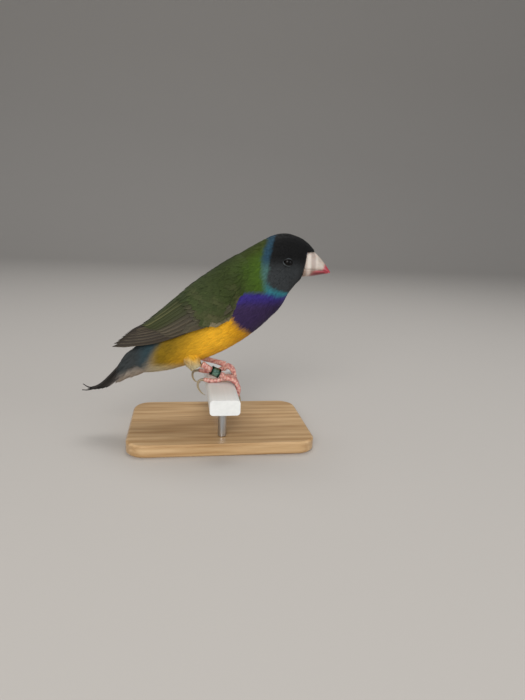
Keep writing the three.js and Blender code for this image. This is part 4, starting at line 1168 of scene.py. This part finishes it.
# a turned ring with rolled rims round the loose axis of the right shank
def makeBand():
    foot, shank = legs["right"]["foot"], legs["right"]["shank"]
    heel, toes = [np.array((x, foot, z)) for x, z in (shank[0], shank[3])]
    way = unit(unit(toes - heel) + [0, 0, band["tilt"]])
    centre = heel + (toes - heel) * band["place"] - [0, 0, band["drop"]]
    h, r0, r1 = band["height"] / 2, band["inner"], band["outer"]
    profile = np.array([
        (r0, -h + 0.15), (r0 + 0.15, -h), (r1 - 0.12, -h), (r1, -h + 0.12), (r1, -h + 0.45), (r1 - 0.1, -h + 0.65),
        (r1 - 0.1, -h + 1.4), (r1 - 0.1, h - 1.4), (r1 - 0.1, h - 0.65), (r1, h - 0.45), (r1, h - 0.12),
        (r1 - 0.12, h), (r0 + 0.15, h), (r0, h - 0.15),
    ])
    angle = np.linspace(0, 2 * np.pi, 72, endpoint=False)[:, None]
    side = unit(np.cross(way, [0.0, 1.0, 0.0]))
    up = np.cross(side, way)
    ring = np.cos(angle)[..., None] * side + np.sin(angle)[..., None] * up
    grid = centre + profile[None, :, :1] * ring + profile[None, :, 1:] * way
    # painted highlight: the ring's middle pale grey-green, its rolled ends in the dye's dark green
    rim = smoothStep(h - 1.3, h - 0.6, np.abs(profile[:, 1]))[None, :] + 0 * angle
    colours = mix(bandDyeAndHighlight["face"] + 0 * grid, bandDyeAndHighlight["rim"], rim).reshape(-1, 3)
    paintedPiece("band_ring", grid.reshape(-1, 3), [ringFaces(*grid.shape[:2])], colours, anodised,
                 "leg_band", "leg_band")


makeBand()


# Moulded white plastic, matt with faint lengthwise marks of the extrusion
whitePlastic = grainMaterial("whitePlastic", (600.0, 8.0, 600.0), 3.0, "#e0e2e0", "#f3f4f2", bump=(0.1, 0.0001),
                             Roughness=0.45)
# Pale beech under clear satin lacquer: grain lines about 1.5 mm apart along the base
beech = grainMaterial("lacqueredBeech", (25.0, 420.0, 420.0), 5.0, "#a67f50", "#d3b184", (0.3, 0.7),
                      bump=(0.15, 0.0001), Roughness=0.4, Coat_Weight=0.3, Coat_Roughness=0.25)
# Drawn steel rod: fine lengthwise scratches that stretch the highlights
steel = grainMaterial("drawnSteel", (2500.0, 2500.0, 60.0), 3.0, "#a4a6a8", "#d4d6d8", gloss=(0.22, 0.42),
                      Metallic=1.0, Roughness=0.3)


def dress(node, material):
    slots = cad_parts[node].data.materials
    slots.clear()
    slots.append(material)


dress("perch", whitePlastic)
dress("stand_base", beech)
dress("stand_rod_near", steel)
dress("stand_rod_far", steel)
print("band, perch and stand dressed")


# Floor and light
# floor and wall as one sheet, joined by a quarter circle
def makeStudio():
    bend = np.linspace(0, np.pi / 2, 16)
    profile = np.concatenate([[(-3.0, 0.0)], np.stack([1.2 + 0.8 * np.sin(bend), 0.8 - 0.8 * np.cos(bend)], -1),
                              [(2.0, 4.0)]])
    across = np.array([-4.0, 4.0])
    grid = np.stack([np.broadcast_to(across[:, None], (2, len(profile))),
                     np.broadcast_to(profile[:, 0], (2, len(profile))),
                     np.broadcast_to(profile[:, 1], (2, len(profile)))], -1)
    points = grid.reshape(-1, 3) * 1000 - [0, 0, perchTop]
    mesh = meshOf("studioFloor", points, [gridFaces(2, len(profile))])
    material, tree, shader = newMaterial("paleFloor", Roughness=0.8)
    shader.inputs["Base Color"].default_value = (*linearOf("#bdb8b2"), 1)
    mesh.materials.append(material)
    floor = bpy.data.objects.new("studioFloor", mesh)
    bpy.context.scene.collection.objects.link(floor)


def addLight(name, at, target, size, power, colour):
    data = bpy.data.lights.new(name, "AREA")
    data.size, data.energy, data.color = size, power, colour
    lamp = bpy.data.objects.new(name, data)
    bpy.context.scene.collection.objects.link(lamp)
    direction = Vector(target) - Vector(at)
    lamp.matrix_world = Matrix.Translation(Vector(at)) @ direction.to_track_quat("-Z", "Y").to_matrix().to_4x4()


makeStudio()
addLight("keyLight", (-0.25, -0.75, 0.45), (0, 0, 0.07), 0.5, 5.0, (1.0, 0.98, 0.95))
addLight("fillLight", (0.7, -0.4, 0.2), (0, 0, 0.07), 0.5, 1.6, (0.95, 0.97, 1.0))
addLight("topLight", (0.1, 0.3, 1.0), (0, 0, 0.07), 0.5, 4.0, (1.0, 1.0, 1.0))
world = bpy.data.worlds.new("studioAir")
world.use_nodes = True
world.node_tree.nodes["Background"].inputs["Color"].default_value = (0.8, 0.82, 0.85, 1)
world.node_tree.nodes["Background"].inputs["Strength"].default_value = 0.42
bpy.context.scene.world = world
bpy.context.scene.view_settings.view_transform = "Standard"
